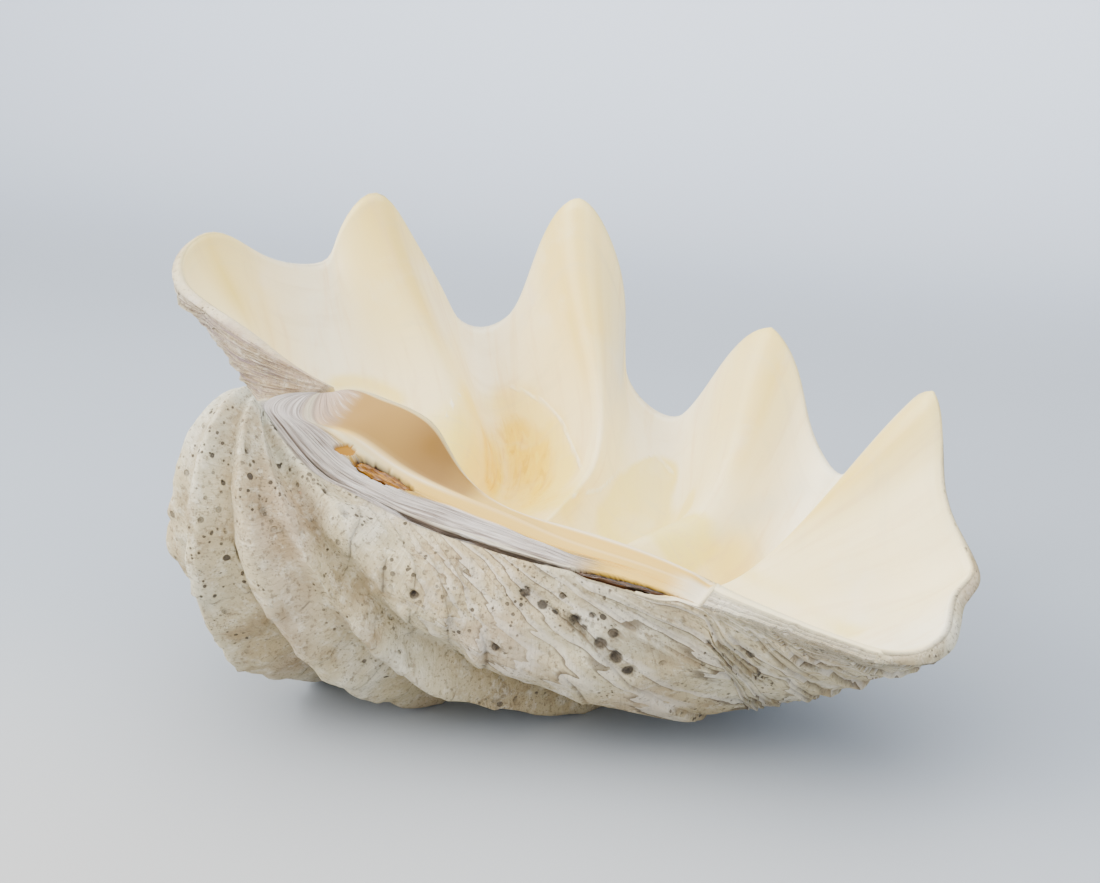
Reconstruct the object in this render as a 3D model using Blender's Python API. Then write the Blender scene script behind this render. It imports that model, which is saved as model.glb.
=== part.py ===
# One valve of a giant clam, resting on its ribs with the bowl open to the sky.
# The shape is worked out in the valve's own frame, in millimetres: the beak is the origin, X runs along
# the hinge to the rear end, Y runs away from the hinge to the far margin, and Z points at the other valve.
import bpy
import bmesh
import numpy as np

MM = 0.001

# How the valve lies on the floor
TILT_ABOUT_HINGE = 3.4      # degrees, far margin up
TILT_ALONG_HINGE = 9.7      # degrees, rear end down
REST_FLAT_DEPTH = 8.0       # how far the rib crests are worn flat where they stand

# Growth of the young shell about the hinge axis
TURN_RATE = 2.15            # radians of turn for each fall in size by a factor of e
LENGTH_POWER = 1.15         # the young valve was shorter for its height
BEAK_SHRINK = 0.38          # how much the last half turn at the beak is drawn in
BEAK_TURN = (2.6, 4.1)      # radians of turn over which it is drawn in
BEAK_FOLD = 0.45            # how deep the folds between the ribs are at the beak, as a share of the ring's
YOUNGEST = 0.09             # size of the smallest shell at the beak, as a share of the ring

# Wall of the grown shell
WALL_END = 0.9              # pull of the upright rim
BOWL_MIDDLE = (165.0, 150.0, 40.0)

# Facets
AROUND = 97
YOUNG_ROWS = 16
WALL_ROWS = 10
FLOOR_ROWS = 6
FINE = 4                    # samples between facets when the thickness is measured
PLATE_SPACING = 0.026
PLATE_SAMPLES = 400         # fine enough to find a place along the plate
REMNANT_COLUMNS = 9
MERGE_DISTANCE = 1e-6
SHARP_ANGLE = 40            # degrees; facets that meet more steeply keep their edge

# Colours
SHELL_COLOUR = (0.82, 0.76, 0.66, 1.0)
LIGAMENT_COLOUR = (0.16, 0.07, 0.02, 1.0)

# The margin from the front end of the hinge round to the rear end
MARGIN = {
    "front": (23, 57, 1), "front_a": (-18, 73, 0), "front_b": (-63, 85, 5), "front_c": (-112, 101, 10),
    "wing_a": (-144, 116, 18), "wing_b": (-155, 141, 32), "tip_1": (-148, 167, 40), "wing_c": (-132, 207, 17),
    "rib_a": (-117, 255, -1), "a_2": (-104, 276, 3), "b_2": (-93, 287, 39), "tip_2": (-78, 297, 60),
    "c_2": (-60, 310, 38), "d_2": (-33, 329, -14), "e_2": (-16, 344, -46), "rib_b": (5, 358, -52),
    "a_3": (34, 363, -30), "b_3": (56, 357, 42), "tip_3": (77, 354, 79), "c_3": (100, 356, 60),
    "d_3": (123, 357, 6), "e_3": (140, 354, -59), "rib_c": (187, 351, -79), "a_4": (217, 339, -47),
    "b_4": (242, 317, 9), "tip_4": (264, 306, 31), "c_4": (285, 301, 15), "d_4": (311, 292, -30),
    "rib_d": (347, 271, -52), "a_5": (371, 243, -22), "b_5": (389, 219, 24), "tip_5": (407, 206, 51),
    "c_5": (420, 198, 29), "d_5": (439, 177, -10), "e_5": (471, 149, -37), "f_5": (470, 111, -41),
    "rib_e": (475, 69, -44), "rear_a": (464, 31, -39), "rear": (438, 6, -32),
}

# The margin that the valve had when it was half grown, at the same stations
RING = {
    "front": (21, 50, -4), "front_c": (-50, 85, -40), "tip_1": (-78, 132, -62), "rib_a": (-66, 196, -124),
    "tip_2": (22, 234, -114), "rib_b": (62, 292, -177), "tip_3": (148, 258, -125), "d_3": (160, 264, -141),
    "rib_c": (212, 276, -170), "tip_4": (262, 222, -120), "rib_d": (312, 208, -171),
    "tip_5": (304, 168, -138), "e_5": (326, 135, -152), "f_5": (345, 98, -156), "rib_e": (352, 52, -130),
    "rear_a": (344, 14, -86), "rear": (330, -10, -38),
}

# Most that each station can turn, in radians: the rear ribs lie more openly than the front ones
TURN_LIMIT = {
    "front": 1.8, "front_c": 2.6, "tip_1": 5.2, "rib_a": 6.0, "rib_b": 6.0, "rib_c": 5.0, "rib_d": 3.6,
    "tip_5": 2.8, "f_5": 2.2, "rear": 2.2,
}

# How far the wall first runs on outwards from that ring, and how far its rim leans out
WALL_START = {"front": 0.8, "tip_3": 0.8, "tip_4": 0.75, "rib_d": 0.75, "tip_5": 0.45, "rear": 0.8}
WALL_LEAN = {
    "front": 0.35, "tip_3": 0.35, "tip_4": 0.4, "rib_d": 0.5, "tip_5": 0.65, "rib_e": 0.5, "rear": 0.35,
}

# Thickness of the wall at its lip and at the ring
LIP_THICK = {
    "front": 9, "wing_a": 9, "tip_1": 8, "rib_a": 10, "tip_2": 7, "rib_b": 11, "tip_3": 7, "d_3": 3.5,
    "rib_c": 11, "tip_4": 7, "rib_d": 11, "tip_5": 7, "f_5": 11, "rib_e": 12, "rear_a": 13, "rear": 15,
}
RING_THICK = {
    "front": 9, "tip_1": 20, "rib_b": 27, "tip_3": 24, "rib_d": 28, "tip_5": 25, "rib_e": 34, "rear": 29,
}
LIP_ROUND = 0.3             # how far the lip's edge is rounded up, as a share of its thickness
WALL_THINNING = 2.3         # how fast the wall thins upwards: 1 is evenly, more is sooner
RIM_START = 0.35            # height in the wall from which the rim's own direction takes over
UPRIGHT_WALL = 90.0         # a wall higher than this ends upright; beside the hinge it just runs on

# Directions out of the wall at the two ends of the hinge
OUT_FRONT = (-0.5, -0.6, 0.6)
OUT_REAR = (0.0, -1.0, -0.12)

# Outer edge of the hinge from the beak to the rear end, under the ligament
HINGE_EDGE = [
    (4, -7, 4), (14, -10, 2), (24, -10, -7), (33, -10, -18), (50, -10, -29), (76, -10, -35), (102, -10, -40),
    (129, -10, -44), (167, -10, -45), (208, -10, -44), (253, -10, -40), (290, -10, -38), (329, -10, -36),
    (393, -8, -37), (438, -2, -40),
]

# The hinge plate: its inner edge, with the raised tooth near the front, the crease below the tooth,
# and its outer edge by the beak, point against point
PLATE_INNER = [
    (26, 58, -6), (40, 57, 2), (58, 51, 8), (75, 47, 9), (90, 45, 9), (108, 42, 7), (122, 39, 0),
    (137, 36, -15), (157, 32, -27), (185, 30, -33), (218, 27, -31), (250, 25, -29), (290, 22, -29),
    (330, 19, -33),
]
PLATE_CREASE = [
    (24, 55, -5), (28, 42, 0), (34, 26, -4), (45, 15, -8), (64, 14, -7), (86, 15, -13), (106, 15, -20),
    (128, 15, -24), (154, 16, -27), (187, 17, -30), (218, 16, -33), (250, 14, -33), (290, 12, -32),
    (330, 10, -34),
]
PLATE_OUTER = [
    (21, 50, -3), (15, 30, 1), (9, 10, 3), (11, -4, 1), (24, -10, -7), (54, -10, -30), (84, -10, -37),
    (116, -10, -42), (150, -10, -45), (184, -10, -45), (218, -10, -44), (250, -10, -40), (290, -10, -38),
    (330, -10, -36),
]
PLATE_UP = (0.0, -0.3, 0.95)
CREASE = 0.3                # share of the way across at which the crease lies

# Rows across the plate, from its inner edge (0) by the crease and the ligament to its outer edge (1)
ACROSS = (0.04, 0.15, 0.30, 0.40, 0.47, 0.49, 0.60, 0.62, 0.68, 0.78, 0.81, 0.87, 0.90, 0.93, 0.955, 0.98)
RIM_HEIGHT = 0.8
LIGAMENT = (0.61, 0.91)     # the ridge that carried the ligament
LIGAMENT_HEIGHT = 4.2
LIGAMENT_REACH = (10.0, 50.0, 215.0, 250.0)     # it rises, runs and dies out along the hinge
GROOVE = (0.90, 0.955)      # the dark groove under the ligament
GROOVE_DEPTH = 3.0
GROOVE_REACH = (110.0, 150.0, 235.0, 250.0)

# Slots where the ligament has dried away: start and end along the hinge, and rows across
POCKETS = {
    "front_tip": (63.0, 70.0, 0.48, 0.61), "front": (76.0, 113.0, 0.48, 0.61),
    "rear": (243.0, 313.0, 0.80, 0.94),
}
POCKET_DEPTH = 5.0
POCKET_EDGE = 1.5

# Dried ligament left in the slots: start and end along the hinge, and the two sides
REMNANTS = {"front": (79.0, 110.0, 0.51, 0.58), "rear": (247.0, 300.0, 0.84, 0.91)}
REMNANT_GAP = 1.0
REMNANT_HEIGHT = 2.4
REMNANT_RAGGED = 0.25       # how much its height goes up and down
REMNANT_TAPER = 0.015       # how much narrower it gets at its two ends

# Where the inner face of each station runs under the plate, as a share along its inner edge
FLOOR_ENDS = {
    "front": 0.0, "tip_1": 0.10, "rib_a": 0.17, "tip_2": 0.24, "rib_b": 0.33, "tip_3": 0.45, "rib_c": 0.55,
    "tip_4": 0.66, "rib_d": 0.75, "tip_5": 0.84, "rib_e": 0.95, "rear": 1.0,
}
FLOOR_PULL = 0.42
UNDER_PLATE = (0.0, -0.35, -0.94)
UNDER_PULL = 0.30


def spline(knots, values, at):
    """Natural cubic through the values, read at the places asked for."""
    knots = np.asarray(knots, float)
    values = np.asarray(values, float)
    count = len(knots)
    step = np.diff(knots)
    shape = values.shape[1:]
    slope = np.diff(values, axis=0) / step.reshape((-1,) + (1,) * len(shape))
    system = np.eye(count)
    right = np.zeros_like(values)
    for i in range(1, count - 1):
        system[i, i - 1] = step[i - 1]
        system[i, i] = 2 * (step[i - 1] + step[i])
        system[i, i + 1] = step[i]
        right[i] = 6 * (slope[i] - slope[i - 1])
    bend = np.linalg.solve(system, right.reshape(count, -1)).reshape(values.shape)
    at = np.clip(np.asarray(at, float), knots[0], knots[-1])
    i = np.clip(np.searchsorted(knots, at, side="right") - 1, 0, count - 2)
    wide = (slice(None),) + (None,) * len(shape)
    h = step[i][wide]
    a = (knots[i + 1] - at)[wide] / h
    b = (at - knots[i])[wide] / h
    curve = (a ** 3 - a) * bend[i] + (b ** 3 - b) * bend[i + 1]
    return a * values[i] + b * values[i + 1] + curve * h * h / 6


def unit(v):
    return v / (np.linalg.norm(v, axis=-1, keepdims=True) + 1e-9)


def ease(x):
    x = np.clip(x, 0.0, 1.0)
    return x * x * (3 - 2 * x)


def station_knots():
    points = np.array(list(MARGIN.values()), float)
    lengths = np.linalg.norm(np.diff(points, axis=0), axis=1) ** 0.7
    knots = np.concatenate([[0.0], np.cumsum(lengths)])
    return dict(zip(MARGIN, knots / knots[-1]))


STATION = station_knots()


def along_stations(table, at):
    return spline([STATION[name] for name in table], list(table.values()), at)


def turned(points, angle):
    """Points turned about the hinge axis, the far side going down."""
    c = np.cos(angle)
    s = np.sin(angle)
    x, y, z = points[..., 0], points[..., 1], points[..., 2]
    return np.stack([x, y * c + z * s, z * c - y * s], axis=-1)


def hinge_outer_at(x):
    points = np.array(HINGE_EDGE, float)
    return spline(points[:, 0], points, x)


def outer_sheet(around, young, wall):
    """Outer face: rows of the young shell from the beak to the ring, then rows of the wall."""
    margin = along_stations(MARGIN, around)
    ring = along_stations(RING, around)
    limit = along_stations(TURN_LIMIT, around)
    crests = {name: point for name, point in RING.items() if not name.startswith("tip")}
    smooth = along_stations(crests, around)
    rows = []
    for u in young:
        size = YOUNGEST ** (1 - u)
        fold = BEAK_FOLD + (1 - BEAK_FOLD) * size
        bent = ring * fold + smooth * (1 - fold)
        turn = limit * (1 - np.exp(-TURN_RATE * np.log(1 / size) / limit))
        drawn_in = 1 - BEAK_SHRINK * ease((turn - BEAK_TURN[0]) / (BEAK_TURN[1] - BEAK_TURN[0]))
        row = turned(bent, turn) * size * drawn_in[:, None]
        row[:, 0] = bent[:, 0] * size ** LENGTH_POWER
        rows.append(row)
    start = unit(np.stack([
        LENGTH_POWER * ring[:, 0], ring[:, 1] - TURN_RATE * ring[:, 2], ring[:, 2] + TURN_RATE * ring[:, 1],
    ], axis=-1))
    step = margin - ring
    height = np.linalg.norm(step, axis=1, keepdims=True)
    out = unit((margin - np.array(BOWL_MIDDLE)) * (1, 1, 0))
    lean = along_stations(WALL_LEAN, around)[:, None]
    start = start * height * along_stations(WALL_START, around)[:, None]
    end = unit(out * lean + np.array([0.0, 0.0, 1.0]))
    upright = ease(height / UPRIGHT_WALL)
    end = (end * upright + unit(step) * (1 - upright)) * height * WALL_END
    for w in wall:
        a = 2 * w ** 3 - 3 * w ** 2 + 1
        b = w ** 3 - 2 * w ** 2 + w
        c = 3 * w ** 2 - 2 * w ** 3
        d = w ** 3 - w ** 2
        rows.append(a * ring + b * start + c * margin + d * end)
    sheet = np.array(rows)
    # The edge beside the hinge follows the ligament, and the front edge runs straight to the beak
    rear = ease((around - STATION["f_5"]) / (1 - STATION["f_5"]))
    edge = hinge_outer_at(sheet[:, -1, 0])
    sheet += rear[None, :, None] * (edge - sheet[:, -1])[:, None, :]
    front = 1 - ease(around / STATION["wing_a"])
    size = YOUNGEST ** (1 - young)[:, None]
    line = np.array(HINGE_EDGE[0], float) * (1 - size) + ring[0] * size
    sheet[:len(young)] += front[None, :, None] * (line - sheet[:len(young), 0])[:, None, :]
    return sheet


def outward(sheet, around, wall):
    """Directions in which the wall's thickness is measured: away from the bowl's middle low down, so
    that the troughs stay open, and straight out of the wall at the rim."""
    straight = unit(np.cross(np.gradient(sheet, axis=1), np.gradient(sheet, axis=0)))
    radial = unit(sheet - np.array(BOWL_MIDDLE))
    if np.sum(straight[-1] * radial[-1]) < 0:
        straight = -straight
    rim = ease((wall - RIM_START) / (1 - RIM_START))[:, None, None]
    out = radial * (1 - rim) + straight * rim
    front = (1 - ease(around / STATION["front_b"]))[None, :, None]
    rear = ease((around - STATION["rib_e"]) / (1 - STATION["rib_e"]))[None, :, None]
    out = out * (1 - front) + np.array(OUT_FRONT) * front
    return unit(out * (1 - rear) + np.array(OUT_REAR) * rear)


def inner_wall(outer_wall, normals, around, wall):
    lip = along_stations(LIP_THICK, around)
    ring = along_stations(RING_THICK, around)
    share = (1 - wall)[:, None] ** WALL_THINNING
    thick = lip[None, :] * (1 - share) + ring[None, :] * share
    return outer_wall - normals * thick[..., None]


def plate_at(share):
    return spline(np.linspace(0, 1, len(PLATE_INNER)), PLATE_INNER, plate_pair(share))


def inner_floor(ring_row, ring_slope, around, floor):
    """Inner face from the ring down across the bowl and up to the hinge plate's inner edge."""
    ends = plate_at(along_stations(FLOOR_ENDS, around))
    ends[0] = ring_row[0]
    ends[-1] = ring_row[-1]
    reach = np.linalg.norm(ends - ring_row, axis=1, keepdims=True)
    first = ring_row - unit(ring_slope) * reach * FLOOR_PULL
    last = ends + np.array(UNDER_PLATE) * reach * UNDER_PULL
    rows = []
    for f in floor:
        g = 1 - f
        rows.append(g ** 3 * ring_row + 3 * g * g * f * first + 3 * g * f * f * last + f ** 3 * ends)
    return np.array(rows)


def pulse(x, reach):
    """Rises from 0 to 1, stays, and falls back to 0."""
    rise = ease((x - reach[0]) / (reach[1] - reach[0]))
    return rise * (1 - ease((x - reach[2]) / (reach[3] - reach[2])))


def plate_pair(share):
    """Counts a share of the inner edge's length in control points."""
    points = np.array(PLATE_INNER, float)
    lengths = np.concatenate([[0.0], np.cumsum(np.linalg.norm(np.diff(points, axis=0), axis=1))])
    return np.interp(share, lengths / lengths[-1], np.linspace(0, 1, len(points)))


def plate_point(share, across, height):
    """A point on the hinge plate, at a height over the straight lines from edge to crease to edge."""
    places = np.linspace(0, 1, len(PLATE_INNER))
    inner, crease, outer = [spline(places, line, plate_pair(share)) for line in
                            (PLATE_INNER, PLATE_CREASE, PLATE_OUTER)]
    across = np.broadcast_to(across, share.shape)[:, None]
    height = np.broadcast_to(height, share.shape)[:, None]
    near = np.clip(across / CREASE, 0, 1)
    far = np.clip((across - CREASE) / (1 - CREASE), 0, 1)
    return inner + (crease - inner) * near + (outer - crease) * far + np.array(PLATE_UP) * height


def plate_share_at(x, across):
    """Share along the plate that lies at this distance along the hinge, in one row."""
    share = np.linspace(0, 1, PLATE_SAMPLES)
    return np.interp(x, plate_point(share, across, 0.0)[:, 0], share)


def plate_height(share, across):
    """Rim, ligament ridge, groove and slots across the plate."""
    x = plate_point(share, across, 0.0)[:, 0]
    height = RIM_HEIGHT * max(0.0, 1 - abs(across - ACROSS[0]) / 0.1)
    width = (across - LIGAMENT[0]) / (LIGAMENT[1] - LIGAMENT[0])
    if 0 < width < 1:
        height = height + LIGAMENT_HEIGHT * np.sin(np.pi * width) ** 0.5 * pulse(x, LIGAMENT_REACH)
    if GROOVE[0] < across < GROOVE[1]:
        height = height - GROOVE_DEPTH * pulse(x, GROOVE_REACH)
    for low, high, near, far in POCKETS.values():
        if near < across < far:
            along = plate_point(share, (near + far) / 2, 0.0)[:, 0]
            slot = pulse(along, (low - POCKET_EDGE, low, high, high + POCKET_EDGE))
            height = height * (1 - slot) - POCKET_DEPTH * slot
    return height


def hinge_plate(share):
    rows = []
    for across in ACROSS:
        rows.append(plate_point(share, across, plate_height(share, across)))
    return np.array(rows)


def plate_columns(spacing):
    """Places along the plate for its facets, with one at each end of each slot."""
    places = list(np.arange(0.02, 0.985, spacing))
    ends = []
    for low, high, near, far in POCKETS.values():
        edges = np.array([low - POCKET_EDGE, low, high, high + POCKET_EDGE])
        ends += list(plate_share_at(edges, (near + far) / 2))
    ends = np.array(ends)
    places = [p for p in places if np.min(np.abs(ends - p)) > spacing * 0.4]
    return np.array(sorted(places + list(ends)))


class Skin:
    """Collects rows of points and the triangles between them."""

    def __init__(self):
        self.points = []
        self.faces = []

    def add(self, rows):
        rows = np.asarray(rows, float)
        first = len(self.points)
        self.points.extend(rows.reshape(-1, 3))
        return np.arange(first, first + rows.size // 3).reshape(rows.shape[:-1])

    def grid(self, ids):
        for row, above in zip(ids[:-1], ids[1:]):
            self.band(row, above)

    def band(self, row, above):
        for i in range(len(row) - 1):
            self.faces.append((row[i], row[i + 1], above[i + 1]))
            self.faces.append((row[i], above[i + 1], above[i]))

    def zip(self, row, above):
        """Triangles between two rows with different numbers of points, going by length along each."""
        a = self.shares(row)
        b = self.shares(above)
        i = 0
        j = 0
        while i < len(row) - 1 or j < len(above) - 1:
            on_row = j == len(above) - 1 or (i < len(row) - 1 and a[i + 1] <= b[j + 1])
            if on_row:
                self.faces.append((row[i], row[i + 1], above[j]))
                i += 1
            else:
                self.faces.append((row[i], above[j + 1], above[j]))
                j += 1

    def shares(self, row):
        points = np.array([self.points[i] for i in row])
        lengths = np.concatenate([[0.0], np.cumsum(np.linalg.norm(np.diff(points, axis=0), axis=1))])
        return lengths / lengths[-1]


def shell_skin(around_count, young_rows, wall_rows, floor_rows, plate_spacing):
    """The whole closed surface of the valve, in its own frame."""
    around = np.linspace(0, 1, (around_count - 1) * FINE + 1)
    young = np.linspace(0, 1, young_rows)
    wall = np.linspace(0, 1, (wall_rows - 1) * FINE + 1)
    sheet = outer_sheet(around, young, wall[1:])
    outer_wall = sheet[young_rows - 1:]
    normals = outward(outer_wall, around, wall)
    inner = inner_wall(outer_wall, normals, around, wall)
    slope = inner[1] - inner[0]
    lip = (outer_wall[-1] + inner[-1]) / 2
    rise = unit(outer_wall[-1] - outer_wall[-2]) * LIP_ROUND
    lip += rise * along_stations(LIP_THICK, around)[:, None]
    keep = slice(None, None, FINE)
    floor = inner_floor(inner[0], slope, around, np.linspace(0, 1, floor_rows)[1:])

    skin = Skin()
    young_ids = skin.add(sheet[:young_rows - 1, keep])
    wall_ids = skin.add(outer_wall[keep, keep])
    lip_ids = skin.add(lip[keep])
    inner_ids = skin.add(inner[keep, keep])
    floor_ids = skin.add(floor[:, keep])
    beak = skin.add([(sheet[0, 0] + sheet[0, -1]) / 2])[0]
    outer_ids = np.concatenate([young_ids, wall_ids])
    skin.grid(outer_ids)
    skin.band(outer_ids[-1], lip_ids)
    skin.band(lip_ids, inner_ids[-1])
    skin.grid(inner_ids[::-1])
    skin.band(inner_ids[0], floor_ids[0])
    skin.grid(floor_ids)

    # A small cap closes the smallest row at the beak
    for i in range(around_count - 1):
        skin.faces.append((beak, outer_ids[0][i + 1], outer_ids[0][i]))

    # The hinge plate fills the space between the inner face and the outer edge
    plate_ids = skin.add(hinge_plate(plate_columns(plate_spacing)))
    skin.grid(plate_ids)
    skin.zip(floor_ids[-1], plate_ids[0])
    ring_id = young_rows - 1
    front_edge = list(outer_ids[:ring_id + 1, 0][::-1])
    rear_edge = list(outer_ids[:ring_id + 1, -1])
    skin.zip(plate_ids[-1], front_edge + [beak] + rear_edge)
    close_plate_end(skin, inner_ids[0, 0], plate_ids[:, 0], outer_ids[ring_id, 0])
    close_plate_end(skin, inner_ids[0, -1], plate_ids[:, -1], outer_ids[ring_id, -1])

    # Beyond the plate the two faces of the wall meet at each end of the hinge
    skin.band(inner_ids[:, 0][::-1], outer_ids[ring_id:, 0][::-1])
    skin.band(inner_ids[:, -1], outer_ids[ring_id:, -1])
    skin.faces.append((inner_ids[-1, 0], outer_ids[-1, 0], lip_ids[0]))
    skin.faces.append((inner_ids[-1, -1], lip_ids[-1], outer_ids[-1, -1]))
    return skin


def close_plate_end(skin, inner, column, outer):
    """A fan across one end of the plate, from its first or last column to the wall."""
    fan = list(column) + [outer]
    for a, b in zip(fan[:-1], fan[1:]):
        skin.faces.append((inner, a, b))


def remnant_skin(low, high, near, far):
    """A strip of dried ligament that lies in its slot, with a ragged upper face."""
    share = plate_share_at(np.linspace(low, high, REMNANT_COLUMNS), (near + far) / 2)
    end = np.sin(np.linspace(0, np.pi, REMNANT_COLUMNS)) ** 0.35
    ragged = 1 + REMNANT_RAGGED * np.sin(np.arange(REMNANT_COLUMNS) * 2.3)
    bottom = np.full(REMNANT_COLUMNS, REMNANT_GAP - POCKET_DEPTH)
    top = bottom + REMNANT_HEIGHT * ragged * (0.35 + 0.65 * end)
    near = near + (1 - end) * REMNANT_TAPER
    rows = []
    for across, height in ((near, bottom), (near, top * 0.5 + bottom * 0.5), ((near + far) / 2, top),
                           (far, top * 0.5 + bottom * 0.5), (far, bottom)):
        rows.append(plate_point(share, across, height))
    skin = Skin()
    ids = skin.add(np.array(rows))
    skin.grid(np.concatenate([ids, ids[:1]]))
    for column in (ids[:, 0], ids[:, -1]):
        for a, b in zip(column[1:-1], column[2:]):
            skin.faces.append((column[0], a, b))
    return skin


def placement(points):
    """Turns the valve as it lies on the floor, and gives the height at which its ribs are worn flat."""
    a = np.radians(TILT_ABOUT_HINGE)
    b = np.radians(TILT_ALONG_HINGE)
    about_x = np.array([[1, 0, 0], [0, np.cos(a), -np.sin(a)], [0, np.sin(a), np.cos(a)]])
    about_y = np.array([[np.cos(b), 0, np.sin(b)], [0, 1, 0], [-np.sin(b), 0, np.cos(b)]])
    turn = about_y @ about_x
    lying = points @ turn.T
    low = lying.min(axis=0)
    high = lying.max(axis=0)
    floor = low[2] + REST_FLAT_DEPTH
    return turn, np.array([(low[0] + high[0]) / 2, (low[1] + high[1]) / 2, floor])


def wear_flat(work):
    """Cuts the lowest rib crests off level, where the valve stands."""
    everything = list(work.verts) + list(work.edges) + list(work.faces)
    cut = bmesh.ops.bisect_plane(
        work, geom=everything, dist=MERGE_DISTANCE, plane_co=(0, 0, 0), plane_no=(0, 0, 1), clear_inner=True)
    edges = [g for g in cut["geom_cut"] if isinstance(g, bmesh.types.BMEdge)]
    bmesh.ops.holes_fill(work, edges=edges)


def make_object(name, skin, turn, origin, colour, roughness):
    points = np.array(skin.points) @ turn.T - origin
    mesh = bpy.data.meshes.new(name)
    mesh.from_pydata([tuple(p) for p in points * MM], [], [tuple(int(i) for i in f) for f in skin.faces])
    work = bmesh.new()
    work.from_mesh(mesh)
    bmesh.ops.remove_doubles(work, verts=work.verts, dist=MERGE_DISTANCE)
    bmesh.ops.dissolve_degenerate(work, edges=work.edges, dist=MERGE_DISTANCE)
    if points[:, 2].min() < 0:
        wear_flat(work)
    bmesh.ops.triangulate(work, faces=work.faces)
    bmesh.ops.recalc_face_normals(work, faces=work.faces)
    if work.calc_volume(signed=True) < 0:
        bmesh.ops.reverse_faces(work, faces=work.faces)
    work.to_mesh(mesh)
    work.free()
    mesh.shade_smooth()
    mesh.set_sharp_from_angle(angle=np.radians(SHARP_ANGLE))
    piece = bpy.data.objects.new(name, mesh)
    bpy.context.scene.collection.objects.link(piece)
    material = bpy.data.materials.new(name)
    material.use_nodes = True
    shader = material.node_tree.nodes["Principled BSDF"]
    shader.inputs["Base Color"].default_value = colour
    shader.inputs["Roughness"].default_value = roughness
    shader.inputs["Metallic"].default_value = 0.0
    piece.data.materials.append(material)
    return piece


def build():
    for old in list(bpy.data.objects):
        bpy.data.objects.remove(old, do_unlink=True)
    shell = shell_skin(AROUND, YOUNG_ROWS, WALL_ROWS, FLOOR_ROWS, PLATE_SPACING)
    turn, origin = placement(np.array(shell.points))
    make_object("shell_valve", shell, turn, origin, SHELL_COLOUR, 0.45)
    for name, sizes in REMNANTS.items():
        make_object("ligament_" + name, remnant_skin(*sizes), turn, origin, LIGAMENT_COLOUR, 0.7)


build()
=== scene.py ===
import functools
import math
import bpy
import bmesh
import numpy as np
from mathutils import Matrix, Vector, noise


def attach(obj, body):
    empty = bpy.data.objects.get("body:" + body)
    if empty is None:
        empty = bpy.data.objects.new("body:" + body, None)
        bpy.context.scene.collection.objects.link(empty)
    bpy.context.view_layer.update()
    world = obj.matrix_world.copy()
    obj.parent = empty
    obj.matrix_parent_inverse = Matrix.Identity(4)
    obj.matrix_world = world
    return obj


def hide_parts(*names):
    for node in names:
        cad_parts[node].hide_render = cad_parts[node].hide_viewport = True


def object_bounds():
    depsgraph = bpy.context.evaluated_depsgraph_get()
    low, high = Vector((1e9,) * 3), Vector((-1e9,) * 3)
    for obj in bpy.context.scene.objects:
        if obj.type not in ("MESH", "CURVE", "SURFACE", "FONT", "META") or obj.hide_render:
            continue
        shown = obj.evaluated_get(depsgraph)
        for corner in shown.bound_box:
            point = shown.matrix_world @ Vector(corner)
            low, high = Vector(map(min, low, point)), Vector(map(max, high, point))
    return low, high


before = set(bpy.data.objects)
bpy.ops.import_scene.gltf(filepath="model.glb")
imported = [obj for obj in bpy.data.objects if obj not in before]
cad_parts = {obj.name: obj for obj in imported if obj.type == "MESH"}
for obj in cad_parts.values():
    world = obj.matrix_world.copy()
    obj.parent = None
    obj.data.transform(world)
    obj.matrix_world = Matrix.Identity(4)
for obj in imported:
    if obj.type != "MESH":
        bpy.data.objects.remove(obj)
cadBounds = [list(corner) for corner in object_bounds()]

millimetre = 0.001

# The valve is worked out in its own frame in millimetres, beak at the origin, X along the hinge,
# Y away from it and Z up out of the bowl, and then laid down as it rests on the floor.
lie = {"aboutHinge": 3.4, "alongHinge": 9.7, "moveBack": (157.45, 138.69, -227.04)}

growth = {
    "turnRate": 2.15, "lengthPower": 1.15, "beakShrink": 0.38, "beakTurn": (2.6, 4.1), "beakFold": 0.45,
    "youngest": 0.09, "wallEnd": 0.9, "bowlMiddle": (165.0, 150.0, 40.0), "lipRound": 0.22, "lipCrest": 0.70,
    "tipRise": {"tip_4": 3.0, "tip_5": 5.0, "tip_3": 1.0},
    "wallThinning": 2.3, "rimStart": 0.35, "uprightWall": 90.0, "outFront": (-0.5, -0.6, 0.6),
    "outRear": (0.0, -1.0, -0.12), "floorPull": 0.42, "underPlate": (0.0, -0.35, -0.94), "underPull": 0.30,
    "spacing": 0.7, "youngLength": 781.0, "wallLength": 215.0, "youngPace": 1883.0, "metresAround": 2.4,
    "lipInside": (0.50, 0.08), "lipInsideReach": (0.87, 0.90), "tipBeside": 0.03, "tipWidth": 0.007,
    "tipShares": (1.3, 0.6, 0.5),    # of a tip's rise: the inner edge, the row under it, the outer edge
}

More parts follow.
